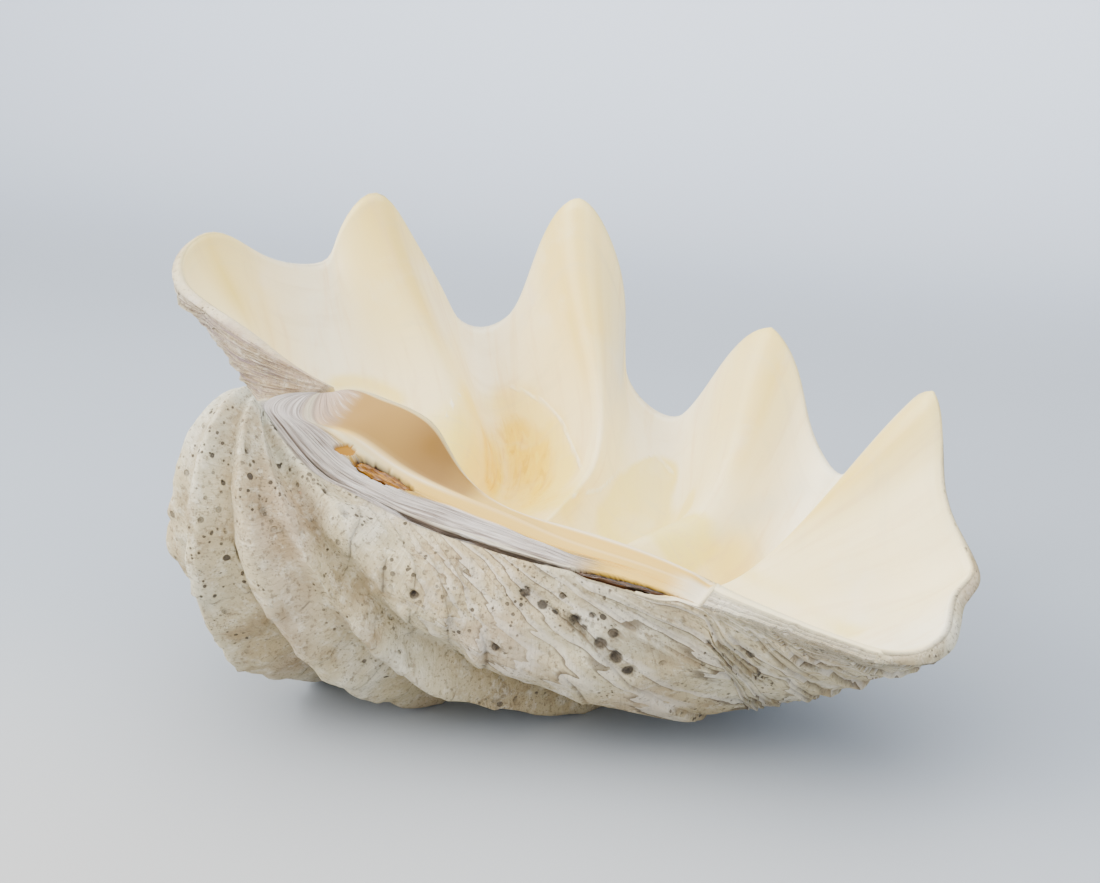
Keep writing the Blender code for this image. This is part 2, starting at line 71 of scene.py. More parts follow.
marginPoints = {
    "front": (23, 57, 1), "front_a": (-18, 73, 0), "front_b": (-63, 85, 5), "front_c": (-112, 101, 10),
    "wing_a": (-144, 116, 18), "wing_b": (-155, 141, 32), "tip_1": (-148, 167, 40), "wing_c": (-132, 207, 17),
    "rib_a": (-117, 255, -1), "a_2": (-104, 276, 3), "b_2": (-93, 287, 39), "tip_2": (-78, 297, 60),
    "c_2": (-60, 310, 38), "d_2": (-33, 329, -14), "e_2": (-16, 344, -46), "rib_b": (5, 358, -52),
    "a_3": (34, 363, -30), "b_3": (56, 357, 42), "tip_3": (77, 354, 79), "c_3": (100, 356, 60),
    "d_3": (123, 357, 6), "e_3": (140, 354, -59), "rib_c": (187, 351, -79), "a_4": (217, 339, -47),
    "b_4": (242, 317, 9), "tip_4": (264, 306, 31), "c_4": (285, 301, 15), "d_4": (311, 292, -30),
    "rib_d": (347, 271, -52), "a_5": (371, 243, -22), "b_5": (389, 219, 24), "tip_5": (407, 206, 51),
    "c_5": (420, 198, 29), "d_5": (439, 177, -10), "e_5": (471, 149, -37), "f_5": (470, 111, -41),
    "rib_e": (475, 69, -44), "rear_a": (464, 31, -39), "rear": (438, 6, -32),
}
ringPoints = {
    "front": (21, 50, -4), "front_c": (-50, 85, -40), "tip_1": (-78, 132, -62), "rib_a": (-66, 196, -124),
    "tip_2": (22, 234, -114), "rib_b": (62, 292, -177), "tip_3": (148, 258, -125), "d_3": (160, 264, -141),
    "rib_c": (212, 276, -170), "tip_4": (262, 222, -120), "rib_d": (312, 208, -171),
    "tip_5": (304, 168, -138), "e_5": (326, 135, -152), "f_5": (345, 98, -156), "rib_e": (352, 52, -130),
    "rear_a": (344, 14, -86), "rear": (330, -10, -38),
}
turnLimit = {
    "front": 1.8, "front_c": 2.6, "tip_1": 5.2, "rib_a": 6.0, "rib_b": 6.0, "rib_c": 5.0, "rib_d": 3.6,
    "tip_5": 2.8, "f_5": 2.2, "rear": 2.2,
}
wallStart = {"front": 0.8, "tip_3": 0.8, "tip_4": 0.75, "rib_d": 0.75, "tip_5": 0.45, "rear": 0.8}
wallLean = {
    "front": 0.35, "tip_3": 0.35, "tip_4": 0.4, "rib_d": 0.5, "tip_5": 0.65, "rib_e": 0.5, "rear": 0.35,
}
lipThick = {
    "front": 9, "wing_a": 9, "tip_1": 8, "rib_a": 10, "tip_2": 7, "rib_b": 11, "tip_3": 7, "d_3": 3.5,
    "rib_c": 11, "tip_4": 7, "rib_d": 11, "tip_5": 7, "f_5": 11, "rib_e": 12, "rear_a": 13, "rear": 15,
}
ringThick = {
    "front": 9, "tip_1": 20, "rib_b": 27, "tip_3": 24, "rib_d": 28, "tip_5": 25, "rib_e": 34, "rear": 29,
}
floorEnds = {
    "front": 0.0, "tip_1": 0.10, "rib_a": 0.17, "tip_2": 0.24, "rib_b": 0.33, "tip_3": 0.45, "rib_c": 0.55,
    "tip_4": 0.66, "rib_d": 0.75, "tip_5": 0.84, "rib_e": 0.95, "rear": 1.0,
}
hingeEdge = [
    (4, -7, 4), (14, -10, 2), (24, -10, -7), (33, -10, -18), (50, -10, -29), (76, -10, -35), (102, -10, -40),
    (129, -10, -44), (167, -10, -45), (208, -10, -44), (253, -10, -40), (290, -10, -38), (329, -10, -36),
    (393, -8, -37), (438, -2, -40),
]
plateInner = [
    (26, 58, -6), (40, 57, 2), (58, 51, 8), (75, 47, 9), (90, 45, 9), (108, 42, 7), (122, 39, 0),
    (137, 36, -15), (157, 32, -27), (185, 30, -33), (218, 27, -31), (250, 25, -29), (290, 22, -29),
    (330, 19, -33),
]
plateCrease = [
    (24, 55, -5), (28, 42, 0), (34, 26, -4), (45, 15, -8), (64, 14, -7), (86, 15, -13), (106, 15, -20),
    (128, 15, -24), (154, 16, -27), (187, 17, -30), (218, 16, -33), (250, 14, -33), (290, 12, -32),
    (330, 10, -34),
]
plateOuter = [
    (21, 50, -3), (15, 30, 1), (9, 10, 3), (11, -4, 1), (24, -10, -7), (54, -10, -30), (84, -10, -37),
    (116, -10, -42), (150, -10, -45), (184, -10, -45), (218, -10, -44), (250, -10, -40), (290, -10, -38),
    (330, -10, -36),
]
plate = {
    "up": (0.0, -0.3, 0.95), "crease": 0.3, "rimHeight": 0.8, "rimAt": 0.04,
    "ligament": (0.58, 0.915), "ligamentHeight": 4.6, "ligamentReach": (104.0, 150.0, 215.0, 250.0),
    "groove": (0.905, 0.968), "grooveDepth": 4.6, "grooveReach": (100.0, 150.0, 225.0, 262.0),
    "crackDepth": 1.4, "crackReach": (14.0, 26.0, 225.0, 245.0),
    "crackAt": 0.915, "crackHalf": 0.014, "roughness": 0.95, "levelReach": (312.0, 326.0), "levelDrop": 2.0,
    "rimDrop": 4.2, "rimDropReach": (240.0, 256.0, 300.0, 317.0), "rimDropAround": 0.012, "closest": 0.0014,
}
slots = {    # hollows in the hinge plate: along X in mm, across as a share of the plate, depth in mm
    "tip": {"from": 64.5, "to": 74.0, "middle": 0.530, "half": 0.120, "skew": 0.0, "depth": 2.2},
    "front": {"from": 76.0, "to": 122.0, "middle": 0.530, "half": 0.140, "skew": -0.02, "depth": 4.9},
    "rear": {"from": 242.0, "to": 325.0, "middle": 0.885, "half": 0.096, "skew": -0.08, "depth": 4.9},
}
slotEdge = {"narrows": 0.45, "waves": [(0.06, 0.8, 0.0), (0.04, 1.7, 1.0)], "outer": 1.12, "soft": 0.3}
rearBand = {    # the wall's edge behind the hinge plate
    "swell": 0.6, "lumps": (0.55, 9, 24), "lift": (0.0, -0.4, 0.9), "inside": (0.44, 0.14), "phases": 0.5,
}
samples = {"edge": 801, "plate": 800, "around": 4001, "lines": 201}
mesh = {
    "around": 322, "floorRows": 20, "wallRows": 30, "plateRows": 36, "plateColumns": 104, "rearRows": 7,
    "slotColumns": 26, "slotRows": [(0.47, 0.62, 14), (0.79, 0.955, 22)], "mergeWithin": 0.00002,
    "density": 0.75, "denser": [(0.45, 0.36, 0.06), (1.1, 0.84, 0.08), (0.7, 0.12, -0.05)],
    "rowPace": [(0.48, 7.5), (1.0, 5.2), (2.0, 4.2)],    # up to this place, a row about every so many mm
}


def curve(knots, values, at):    # natural cubic through the values
    knots = np.asarray(knots, float)
    values = np.asarray(values, float)
    count = len(knots)
    step = np.diff(knots)
    wide = (-1,) + (1,) * (values.ndim - 1)
    slope = np.diff(values, axis=0) / step.reshape(wide)
    system = np.eye(count)
    right = np.zeros_like(values)
    for i in range(1, count - 1):
        system[i, i - 1:i + 2] = (step[i - 1], 2 * (step[i - 1] + step[i]), step[i])
        right[i] = 6 * (slope[i] - slope[i - 1])
    bend = np.linalg.solve(system, right.reshape(count, -1)).reshape(values.shape)
    at = np.clip(np.asarray(at, float), knots[0], knots[-1])
    i = np.clip(np.searchsorted(knots, at, side="right") - 1, 0, count - 2)
    h = step[i].reshape(wide)
    a = (knots[i + 1] - at).reshape(wide) / h
    b = (at - knots[i]).reshape(wide) / h
    return a * values[i] + b * values[i + 1] + ((a ** 3 - a) * bend[i] + (b ** 3 - b) * bend[i + 1]) * h * h / 6


def unit(v):
    return v / (np.linalg.norm(v, axis=-1, keepdims=True) + 1e-9)


def ease(x):
    x = np.clip(x, 0.0, 1.0)
    return x * x * (3 - 2 * x)


def pulse(x, reach):    # rises over the first two places and falls over the last two
    return ease((x - reach[0]) / (reach[1] - reach[0])) * (1 - ease((x - reach[2]) / (reach[3] - reach[2])))


def bell(x, width):
    return np.exp(-(x / width) ** 2)


def runLength(points, power=1.0):    # how far along a line each of its points lies, from 0 to 1
    steps = np.linalg.norm(np.diff(np.array(points, float), axis=0), axis=1) ** power
    places = np.concatenate([[0.0], np.cumsum(steps)])
    return places / places[-1]


def lumps(points, size, seed):    # smooth lumps about this big, from -1 to 1
    shift = Vector((seed * 17.3, seed * 5.1, seed * 9.7))
    flat = np.asarray(points, float).reshape(-1, 3) / size
    values = np.array([noise.noise(Vector(p) + shift) for p in flat])
    return values.reshape(np.shape(points)[:-1])


def lumpsOn(a, b, seed):    # the same on two measures, each stretched beforehand
    return lumps(np.stack(np.broadcast_arrays(a, b, 0.0), axis=-1), 1.0, seed)


station = dict(zip(marginPoints, runLength(list(marginPoints.values()), growth["spacing"])))


def byStation(table, around):
    return curve([station[name] for name in table], list(table.values()), around)


def alongEach(kind, around, width):    # 1 along the ribs or the tips, 0 away from them
    return np.max([bell(around - at, width) for name, at in station.items() if name.startswith(kind)], axis=0)


def hingeAt(x):
    points = np.array(hingeEdge, float)
    return curve(points[:, 0], points, x)


def turned(points, angle):
    c = np.cos(angle)
    s = np.sin(angle)
    x, y, z = points[..., 0], points[..., 1], points[..., 2]
    return np.stack([x, y * c + z * s, z * c - y * s], axis=-1)


def rawOuter(around, rows):    # rows 0 to 1 are the young shell, 1 to 2 the grown wall
    margin = byStation(marginPoints, around)
    ring = byStation(ringPoints, around)
    limit = byStation(turnLimit, around)
    smooth = byStation({n: p for n, p in ringPoints.items() if not n.startswith("tip")}, around)
    size = growth["youngest"] ** (1 - np.clip(rows, 0, 1))
    fold = (growth["beakFold"] + (1 - growth["beakFold"]) * size)[..., None]
    bent = ring * fold + smooth * (1 - fold)
    turn = limit * (1 - np.exp(-growth["turnRate"] * np.log(1 / size) / limit))
    low, high = growth["beakTurn"]
    drawn = 1 - growth["beakShrink"] * ease((turn - low) / (high - low))
    young = turned(bent, turn) * (size * drawn)[..., None]
    young[..., 0] = bent[..., 0] * size ** growth["lengthPower"]
    rate = growth["turnRate"]
    x, y, z = ring.T
    start = unit(np.stack([growth["lengthPower"] * x, y - rate * z, z + rate * y], axis=-1))
    step = margin - ring
    height = np.linalg.norm(step, axis=1, keepdims=True)
    out = unit((margin - np.array(growth["bowlMiddle"])) * (1, 1, 0))
    start = start * height * byStation(wallStart, around)[:, None]
    end = unit(out * byStation(wallLean, around)[:, None] + np.array([0.0, 0.0, 1.0]))
    upright = ease(height / growth["uprightWall"])
    end = (end * upright + unit(step) * (1 - upright)) * height * growth["wallEnd"]
    w = np.clip(rows - 1, 0, 1)[..., None]
    wall = ((2 * w ** 3 - 3 * w ** 2 + 1) * ring + (w ** 3 - 2 * w ** 2 + w) * start
            + (3 * w ** 2 - 2 * w ** 3) * margin + (w ** 3 - w ** 2) * end)
    return np.where(rows[..., None] <= 1, young, wall)


def outerPoints(around, rows):
    sheet = rawOuter(around, rows)
    steps = np.linspace(0, 2, samples["edge"])
    edge = rawOuter(np.array([1.0]), steps[:, None])[:, 0]
    rearMove = hingeAt(edge[:, 0]) - edge
    front = rawOuter(np.array([0.0]), steps[:, None])[:, 0]
    size = growth["youngest"] ** (1 - np.clip(steps, 0, 1))[:, None]
    line = np.array(hingeEdge[0], float) * (1 - size) + np.array(ringPoints["front"], float) * size
    frontMove = np.where(steps[:, None] <= 1, line - front, 0.0)
    rearShare = ease((around - station["f_5"]) / (1 - station["f_5"]))
    frontShare = 1 - ease(around / station["wing_a"])
    for k in range(3):
        sheet[..., k] += rearShare * np.interp(rows, steps, rearMove[:, k])
        sheet[..., k] += frontShare * np.interp(rows, steps, frontMove[:, k])
    return sheet


def outward(sheet):    # the way out, square to the sheet and straight from the middle of the bowl
    square = unit(np.cross(np.gradient(sheet, axis=1), np.gradient(sheet, axis=0)))
    radial = unit(sheet - np.array(growth["bowlMiddle"]))
    return (-square if np.sum(square[-1] * radial[-1]) < 0 else square), radial


def innerPoints(around, wall):
    outer = outerPoints(around, 1 + np.repeat(wall[:, None], len(around), axis=1))
    straight, radial = outward(outer)
    rim = ease((wall - growth["rimStart"]) / (1 - growth["rimStart"]))[:, None, None]
    out = radial * (1 - rim) + straight * rim
    front = (1 - ease(around / station["front_b"]))[None, :, None]
    rear = ease((around - station["rib_e"]) / (1 - station["rib_e"]))[None, :, None]
    out = out * (1 - front) + np.array(growth["outFront"]) * front
    out = unit(out * (1 - rear) + np.array(growth["outRear"]) * rear)
    share = (1 - wall)[:, None] ** growth["wallThinning"]
    thick = byStation(lipThick, around)[None] * (1 - share) + byStation(ringThick, around)[None] * share
    return outer, outer - out * thick[..., None]


def platePair(share):    # the plate's three lines are read at the same place along the inner one
    return np.interp(share, runLength(plateInner), np.linspace(0, 1, len(plateInner)))


def platePoint(share, across, height=0.0):
    places = np.linspace(0, 1, len(plateInner))
    inner, crease, outer = [curve(places, line, platePair(share)) for line in (plateInner, plateCrease, plateOuter)]
    across = np.asarray(across, float)[..., None]
    height = np.asarray(height, float)[..., None]
    near = np.clip(across / plate["crease"], 0, 1)
    far = np.clip((across - plate["crease"]) / (1 - plate["crease"]), 0, 1)
    return inner + (crease - inner) * near + (outer - crease) * far + np.array(plate["up"]) * height


def shareAt(x, across):
    share = np.linspace(0, 1, samples["plate"])
    return np.interp(x, platePoint(share, np.full(len(share), across))[:, 0], share)


def floorPoints(innerRing, slope, around, floor):
    inner = np.array(plateInner, float)
    ends = curve(np.linspace(0, 1, len(inner)), inner, platePair(byStation(floorEnds, around)))
    ends[0] = innerRing[0]
    ends[-1] = innerRing[-1]
    reach = np.linalg.norm(ends - innerRing, axis=1, keepdims=True)
    first = innerRing - unit(slope) * reach * growth["floorPull"]
    last = ends + np.array(growth["underPlate"]) * reach * growth["underPull"]
    f = floor[:, None, None]
    g = 1 - f
    return g ** 3 * innerRing + 3 * g * g * f * first + 3 * g * f * f * last + f ** 3 * ends


def lieTurn():    # how the valve lies on the floor: turned both ways
    a = math.radians(lie["aboutHinge"])
    b = math.radians(lie["alongHinge"])
    aboutX = np.array([[1, 0, 0], [0, math.cos(a), -math.sin(a)], [0, math.sin(a), math.cos(a)]])
    aboutY = np.array([[math.cos(b), 0, math.sin(b)], [0, 1, 0], [-math.sin(b), 0, math.cos(b)]])
    return aboutY @ aboutX


turnOver = lieTurn()


def toFloor(points):
    return np.asarray(points) @ turnOver.T - np.array(lie["moveBack"])


# Growth layers on the outside: each layer ends in a free edge that lies over the next, like a roof tile.
# A layer's edge starts at the hinge at its place and runs ahead of it, away from the hinge.
layers = {
    "edges": [
        (0.30, 0.5), (0.40, 0.8), (0.48, 2.0), (0.545, 1.5), (0.60, 2.4), (0.655, 1.8), (0.70, 3.0),
        (0.745, 2.2), (0.785, 3.0), (0.82, 1.8), (0.86, 3.2), (0.885, 1.9), (0.92, 3.2), (0.945, 2.0),
        (0.98, 3.2), (1.02, 2.2), (1.08, 3.0), (1.12, 1.6), (1.21, 3.4), (1.26, 1.8), (1.36, 3.4),
        (1.43, 2.0), (1.55, 3.2), (1.68, 2.6), (1.76, 1.6), (1.87, 2.0),
    ],
    "ahead": [(0.0, 0.0), (0.3, 0.05), (0.5, 0.14), (0.70, 0.13), (0.78, 0.24), (0.9, 0.32), (1.0, 0.40),
              (1.2, 0.36), (1.5, 0.26), (1.9, 0.05), (2.0, 0.0)],
    "aheadReach": 0.045, "wander": 0.012, "drift": 0.018, "youngStep": 0.0020, "wallStep": 0.009, "afterStep": 1.6,
    "quiet": 0.8, "rise": 1.7, "broken": (34, 31), "brokenBy": (0.62, 1.9, 1.35), "stone": 0.6,
    "footFrom": (1.1, 0.15),
    "ribWidth": 0.02, "rearReach": (0.80, 0.08), "lineFade": 0.16, "wanderPer": 40, "driftPer": (30, 0.14),
    "lumps": [(4.6, 46, 1), (2.6, 19, 2), (1.2, 9, 4)],    # height, size and seed
    # thin growth lines near the rear end of the hinge, where they run almost along it
    "lineAhead": [(0.0, 0.0), (0.5, 0.14), (0.78, 0.24), (0.9, 0.34), (1.0, 0.62), (1.3, 0.60), (2.0, 0.0)],
    "lineReach": [(0.0, 0.045), (0.85, 0.045), (1.0, 0.016), (1.1, 0.011), (2.0, 0.011)],
}

pits = [    # the largest bore holes: place on the floor frame in mm, radius and depth
    (47, -152, 129, 3.6, 2.6), (58, -151, 122, 3.4, 2.6), (79, -148, 113, 4.6, 3.2), (84, -147, 108, 3.2, 2.4),
    (95, -143, 99, 4.6, 3.2), (103, -142, 107, 3.4, 2.6), (104, -138, 89, 4.8, 3.4), (109, -134, 80, 4.4, 3.0),
    (31, -164, 93, 3.0, 2.4), (-17, -181, 128, 3.2, 3.0), (-66, -180, 172, 2.6, 2.2), (-84, -176, 185, 2.4, 2.0),
    (-119, -200, 176, 2.6, 2.2), (-149, -203, 203, 3.4, 2.4), (-168, -188, 199, 3.0, 2.2),
    (-128, -196, 212, 2.8, 2.2), (-122, -205, 150, 2.8, 2.2), (70, -146, 128, 2.4, 2.0), (66, -150, 118, 2.4, 1.8),
    (90, -146, 118, 2.2, 1.8), (12, -160, 140, 2.6, 2.0), (-2, -165, 146, 2.2, 1.8), (214, -137, 131, 2.0, 1.6),
]
# dark: how far a pit's painted shade reaches
pitReach = {"bowl": 1.25, "dark": 1.5}
pitShift = (1.5, 3.0, 0.6)    # the material's ground is warped, and this puts a pit's painted shade back in its hollow


def layerStep(place):
    return layers["youngStep"] if place < 1 else layers["wallStep"]


def layerRows():
    rows = [0.0]
    for place, _ in layers["edges"]:
        rows += [place, place + layerStep(place), place + layers["afterStep"] * layerStep(place)]
    rows.append(2.0)
    filled = []
    for a, b in zip(rows[:-1], rows[1:]):
        pace = next(pace for end, pace in mesh["rowPace"] if b <= end)
        length = (b - a) * (growth["youngPace"] * growth["youngest"] ** (1 - b) if b <= 1 else growth["wallLength"])
        filled += list(np.linspace(a, b, max(1, int(round(length / pace))), endpoint=False))
    return np.array(filled + [2.0])


def aroundPlaces(count):    # closer together where the ribs are close
    at = np.linspace(0, 1, samples["around"])
    dense = sum((more * ease((at - start) / reach) for more, start, reach in mesh["denser"]), mesh["density"])
    total = np.concatenate([[0.0], np.cumsum((dense[1:] + dense[:-1]) / 2)])
    return np.interp(np.linspace(0, total[-1], count), total, at)


def layerRelief(around, places):    # height of the layers and the painted shadow line at each edge's foot, under the free edge above it
    lows = [0.0] + [place for place, _ in layers["edges"]]
    height = np.zeros((len(places), len(around)))
    foot = np.zeros_like(height)
    start, reach = layers["rearReach"]
    crest = np.maximum(ease((around - start) / reach), alongEach("rib", around, layers["ribWidth"]))
    loud = layers["quiet"] + (1 - layers["quiet"]) * crest
    full, less = layers["footFrom"]
    broken = layers["broken"]
    usual, swing, most = layers["brokenBy"]
    for low, (high, tall) in zip(lows, layers["edges"]):
        part = usual + swing * lumpsOn(around * broken[0], high * broken[1], 3)
        here = np.clip(part, 0.0, most) * loud * tall
        share = (places - low) / (high - low)
        inside = (share > 0) & (share <= 1)
        height[inside] = share[inside, None] ** layers["rise"] * here
        at = np.argmin(np.abs(places - high - layerStep(high)))
        # painted shadow at the foot of each layer's free edge
        foot[at] = np.clip(here / full - less, 0, 1)
    return height, foot


def linePhase(around, rows):    # which thin growth line a place on the outside belongs to
    places = np.linspace(0, 2, samples["lines"])
    ahead = np.interp(places, *zip(*layers["lineAhead"]))
    reach = np.interp(places, *zip(*layers["lineReach"]))
    phase = np.zeros_like(rows)
    for i, at in enumerate(around):
        shift = ahead * (1 - np.exp(-(1 - at) / reach)) * bell(1 - at, layers["lineFade"])
        line = np.maximum.accumulate(places + shift)
        phase[:, i] = np.interp(rows[:, i], line, places)
    return phase


def makeOutside(around):
    places = layerRows()
    ahead = np.interp(places, *zip(*layers["ahead"]))
    run = 1 - np.exp(-(1 - around) / layers["aheadReach"])
    per, size = layers["driftPer"]
    wander = lumpsOn(around * layers["wanderPer"], 0.0, 8)
    drift = lumpsOn(around * per, places[:, None] / size, 9)
    fade = np.sin(np.pi * np.clip(places / 2, 0, 1))[:, None] * (1 - around ** 30)[None]
    stray = layers["wander"] * wander[None] + layers["drift"] * drift
    rows = np.clip(places[:, None] + ahead[:, None] * run + fade * stray, 0, 2)
    rows[0] = 0
    rows[-1] = 2
    sheet = outerPoints(around, rows)
    normal = outward(sheet)[0]
    height, foot = layerRelief(around, places)
    small = ease((places - 0.12) / 0.4)[:, None]
    lip = ease((2.0 - places) / 0.10)[:, None]
    edge = 0.25 + 0.75 * ease((1 - around) / 0.012) * ease(around / 0.02)
    smoother = ease((0.10 - around) / 0.05) * layers["stone"]    # near the beak
    rough = sum(tall * lumps(sheet, size, seed) for tall, size, seed in layers["lumps"]) * (1 - smoother)[None]
    relief = (height * (0.2 + 0.8 * lip) + rough * (0.15 + 0.85 * lip)) * small * edge
    drop = pulse(sheet[..., 0], plate["rimDropReach"]) * ease(1 - (1 - around) / plate["rimDropAround"])[None]
    sheet[..., 2] -= plate["rimDrop"] * drop * (np.abs(sheet[..., 1]) < 30)
    down = toFloor(sheet + normal * relief[..., None])
    hole = np.zeros_like(relief)
    for x, y, z, radius, depth in pits:
        away = np.linalg.norm(down - (x, y, z), axis=-1)
        i = np.unravel_index(np.argmin(away), away.shape)
        away = np.linalg.norm(down - down[i], axis=-1) / radius
        relief -= np.clip(pitReach["bowl"] - away ** 2, 0, 1) * depth
        # hole: where the pit is painted dark as shade
        hole = np.maximum(hole, np.clip(pitReach["dark"] - away ** 2, 0, 1))
    print("outside", sheet.shape, "rows and columns")
    return sheet + normal * relief[..., None], rows, foot * small * edge, hole


def slotShare(x, across, slot):    # 1 in the middle of a slot, 0 outside it, with a ragged lower edge
    along = (x - slot["from"]) / (slot["to"] - slot["from"])
    narrowed = 1 - slotEdge["narrows"] * np.clip(along, 0, 1)
    ragged = sum((tall * np.sin(x * often + start) for tall, often, start in slotEdge["waves"]), 1.0)
    half = slot["half"] * np.sqrt(np.clip(4 * along * (1 - along), 0, 1)) * narrowed * ragged
    away = np.abs(across - slot["middle"] - slot["skew"] * (along - 0.5)) / np.maximum(half, 1e-4)
    return ease((slotEdge["outer"] - away) / slotEdge["soft"]) * ((along > 0) & (along < 1))


def makePlate():
    share = np.linspace(0.012, 0.988, mesh["plateColumns"])
    extra = []
    for slot in slots.values():
        ends = np.linspace(slot["from"] - 1, slot["to"] + 1, mesh["slotColumns"])
        extra += list(shareAt(ends, slot["middle"]))
    kept = [share[0]]
    for place in np.sort(np.concatenate([share, extra])):
        if place - kept[-1] > plate["closest"]:
            kept.append(place)
    share = np.array(kept)
    lines = [np.linspace(*line) for line in [(0.03, 0.985, mesh["plateRows"])] + mesh["slotRows"]]
    across = np.unique(np.round(np.concatenate(lines + [[plate["crease"]]]), 4))
    base = platePoint(share[None].repeat(len(across), 0).ravel(), across[:, None].repeat(len(share), 1).ravel())
    base = base.reshape(len(across), len(share), 3)
    x = base[..., 0]
    row = across[:, None] * np.ones_like(x)
    height = plate["rimHeight"] * np.clip(1 - np.abs(row - plate["rimAt"]) / 0.1, 0, 1)
    wide = np.clip((row - plate["ligament"][0]) / (plate["ligament"][1] - plate["ligament"][0]), 0, 1)
    ridge = np.sin(np.pi * wide) ** 0.6 * pulse(x, plate["ligamentReach"])
    height = height + plate["ligamentHeight"] * ridge
    low, high = plate["groove"]
    groove = np.sin(np.pi * np.clip((row - low) / (high - low), 0, 1)) ** 0.7 * pulse(x, plate["grooveReach"])
    shadedCrack = np.clip(1 - np.abs(row - plate["crackAt"]) / plate["crackHalf"], 0, 1) * pulse(x, plate["crackReach"])
    height = height - plate["grooveDepth"] * groove - plate["crackDepth"] * shadedCrack
    hollow = np.zeros_like(x)
    sunk = np.zeros_like(x)
    for slot in slots.values():
        mid = platePoint(share, np.full(len(share), slot["middle"]))[:, 0]
        opening = slotShare(mid[None] * np.ones_like(x), row, slot)
        hollow = np.maximum(hollow, opening)
        sunk = np.maximum(sunk, opening * slot["depth"])
    height = height * (1 - hollow) - sunk
    rough = 0.7 * lumpsOn(x / 60, row * 90, 5) + 1.1 * lumpsOn(x / 22, row * 26, 6)
    fibre = (1 - plate["roughness"]) + plate["roughness"] * ease((row - 0.44) / 0.08)
    height = height + fibre * rough * (1 - hollow)
    height = height - plate["rimDrop"] * ease((row - 0.90) / 0.07) * pulse(x, plate["rimDropReach"]) * (1 - hollow)
    start, end = plate["levelReach"]
    level = ease((x - start) / (end - start)) * (1 - hollow)
    height = height * (1 - level) - plate["levelDrop"] * level
    points = base + np.array(plate["up"]) * height[..., None]
    # dark: the groove and the crack, painted with shade
    marks = {"hingeX": x, "across": row, "dark": np.clip(groove + shadedCrack, 0, 1), "slot": hollow}
    print("hinge plate", x.shape)
    return points, marks


class Skin:    # the shell's points and faces as they are put together, with values on the points
    def __init__(self):
        self.points = []
        self.faces = []
        self.tags = {}

    def add(self, rows, **tags):
        rows = np.asarray(rows, float)
        first = len(self.points)
        self.points.extend(rows.reshape(-1, 3))
        count = rows.size // 3
        for name, value in tags.items():
            self.tags.setdefault(name, {})[first] = np.broadcast_to(value, rows.shape[:-1]).reshape(-1)
        return np.arange(first, first + count).reshape(rows.shape[:-1])

    def grid(self, ids):
        for row, above in zip(ids[:-1], ids[1:]):
            self.band(row, above)

    def band(self, row, above):
        for i in range(len(row) - 1):
            self.faces.append((row[i], row[i + 1], above[i + 1], above[i]))

    def zip(self, row, above):    # joins two lines that have different numbers of points
        a, b = [runLength([self.points[i] for i in line]) for line in (row, above)]
        i = 0
        j = 0
        while i < len(row) - 1 or j < len(above) - 1:
            if j == len(above) - 1 or (i < len(row) - 1 and a[i + 1] <= b[j + 1]):
                self.faces.append((row[i], row[i + 1], above[j]))
                i += 1
            else:
                self.faces.append((row[i], above[j + 1], above[j]))
                j += 1

    def fan(self, middle, line):
        for a, b in zip(line[:-1], line[1:]):
            self.faces.append((middle, a, b))

    def values(self, name):
        out = np.zeros(len(self.points))
        for first, value in self.tags.get(name, {}).items():
            out[first:first + len(value)] = value
        return out


def rearRows(skin, inner, outer, grown, innerIds, outIds):
    places = np.interp(np.linspace(0, 1, len(outer)), np.linspace(0, 1, len(inner)), np.arange(len(inner)))
    start = np.stack([np.interp(places, np.arange(len(inner)), inner[:, k]) for k in range(3)], axis=-1)
    share = np.linspace(0, 1, mesh["rearRows"] + 2)[1:-1, None, None]
    band = start[None] * (1 - share) + outer[None] * share
    share = share[..., 0]
    arch = np.sin(np.pi * share)
    tall, size, seed = rearBand["lumps"]
    lift = arch * ease(grown - 1)[None] * rearBand["swell"] + tall * lumps(band, size, seed) * arch
    band = band + np.array(rearBand["lift"]) * lift[..., None]
    mark = np.ones(band.shape[:2])
    end, soft = rearBand["inside"]
    ids = skin.add(band, around=mark, grown=grown[None], inside=ease((end - share) / soft) * mark,
                   phase=2.0 + share * rearBand["phases"] * mark, rear=mark * share)
    skin.zip(innerIds, ids[0])
    skin.grid(ids)
    skin.band(ids[-1], outIds)
    return ids


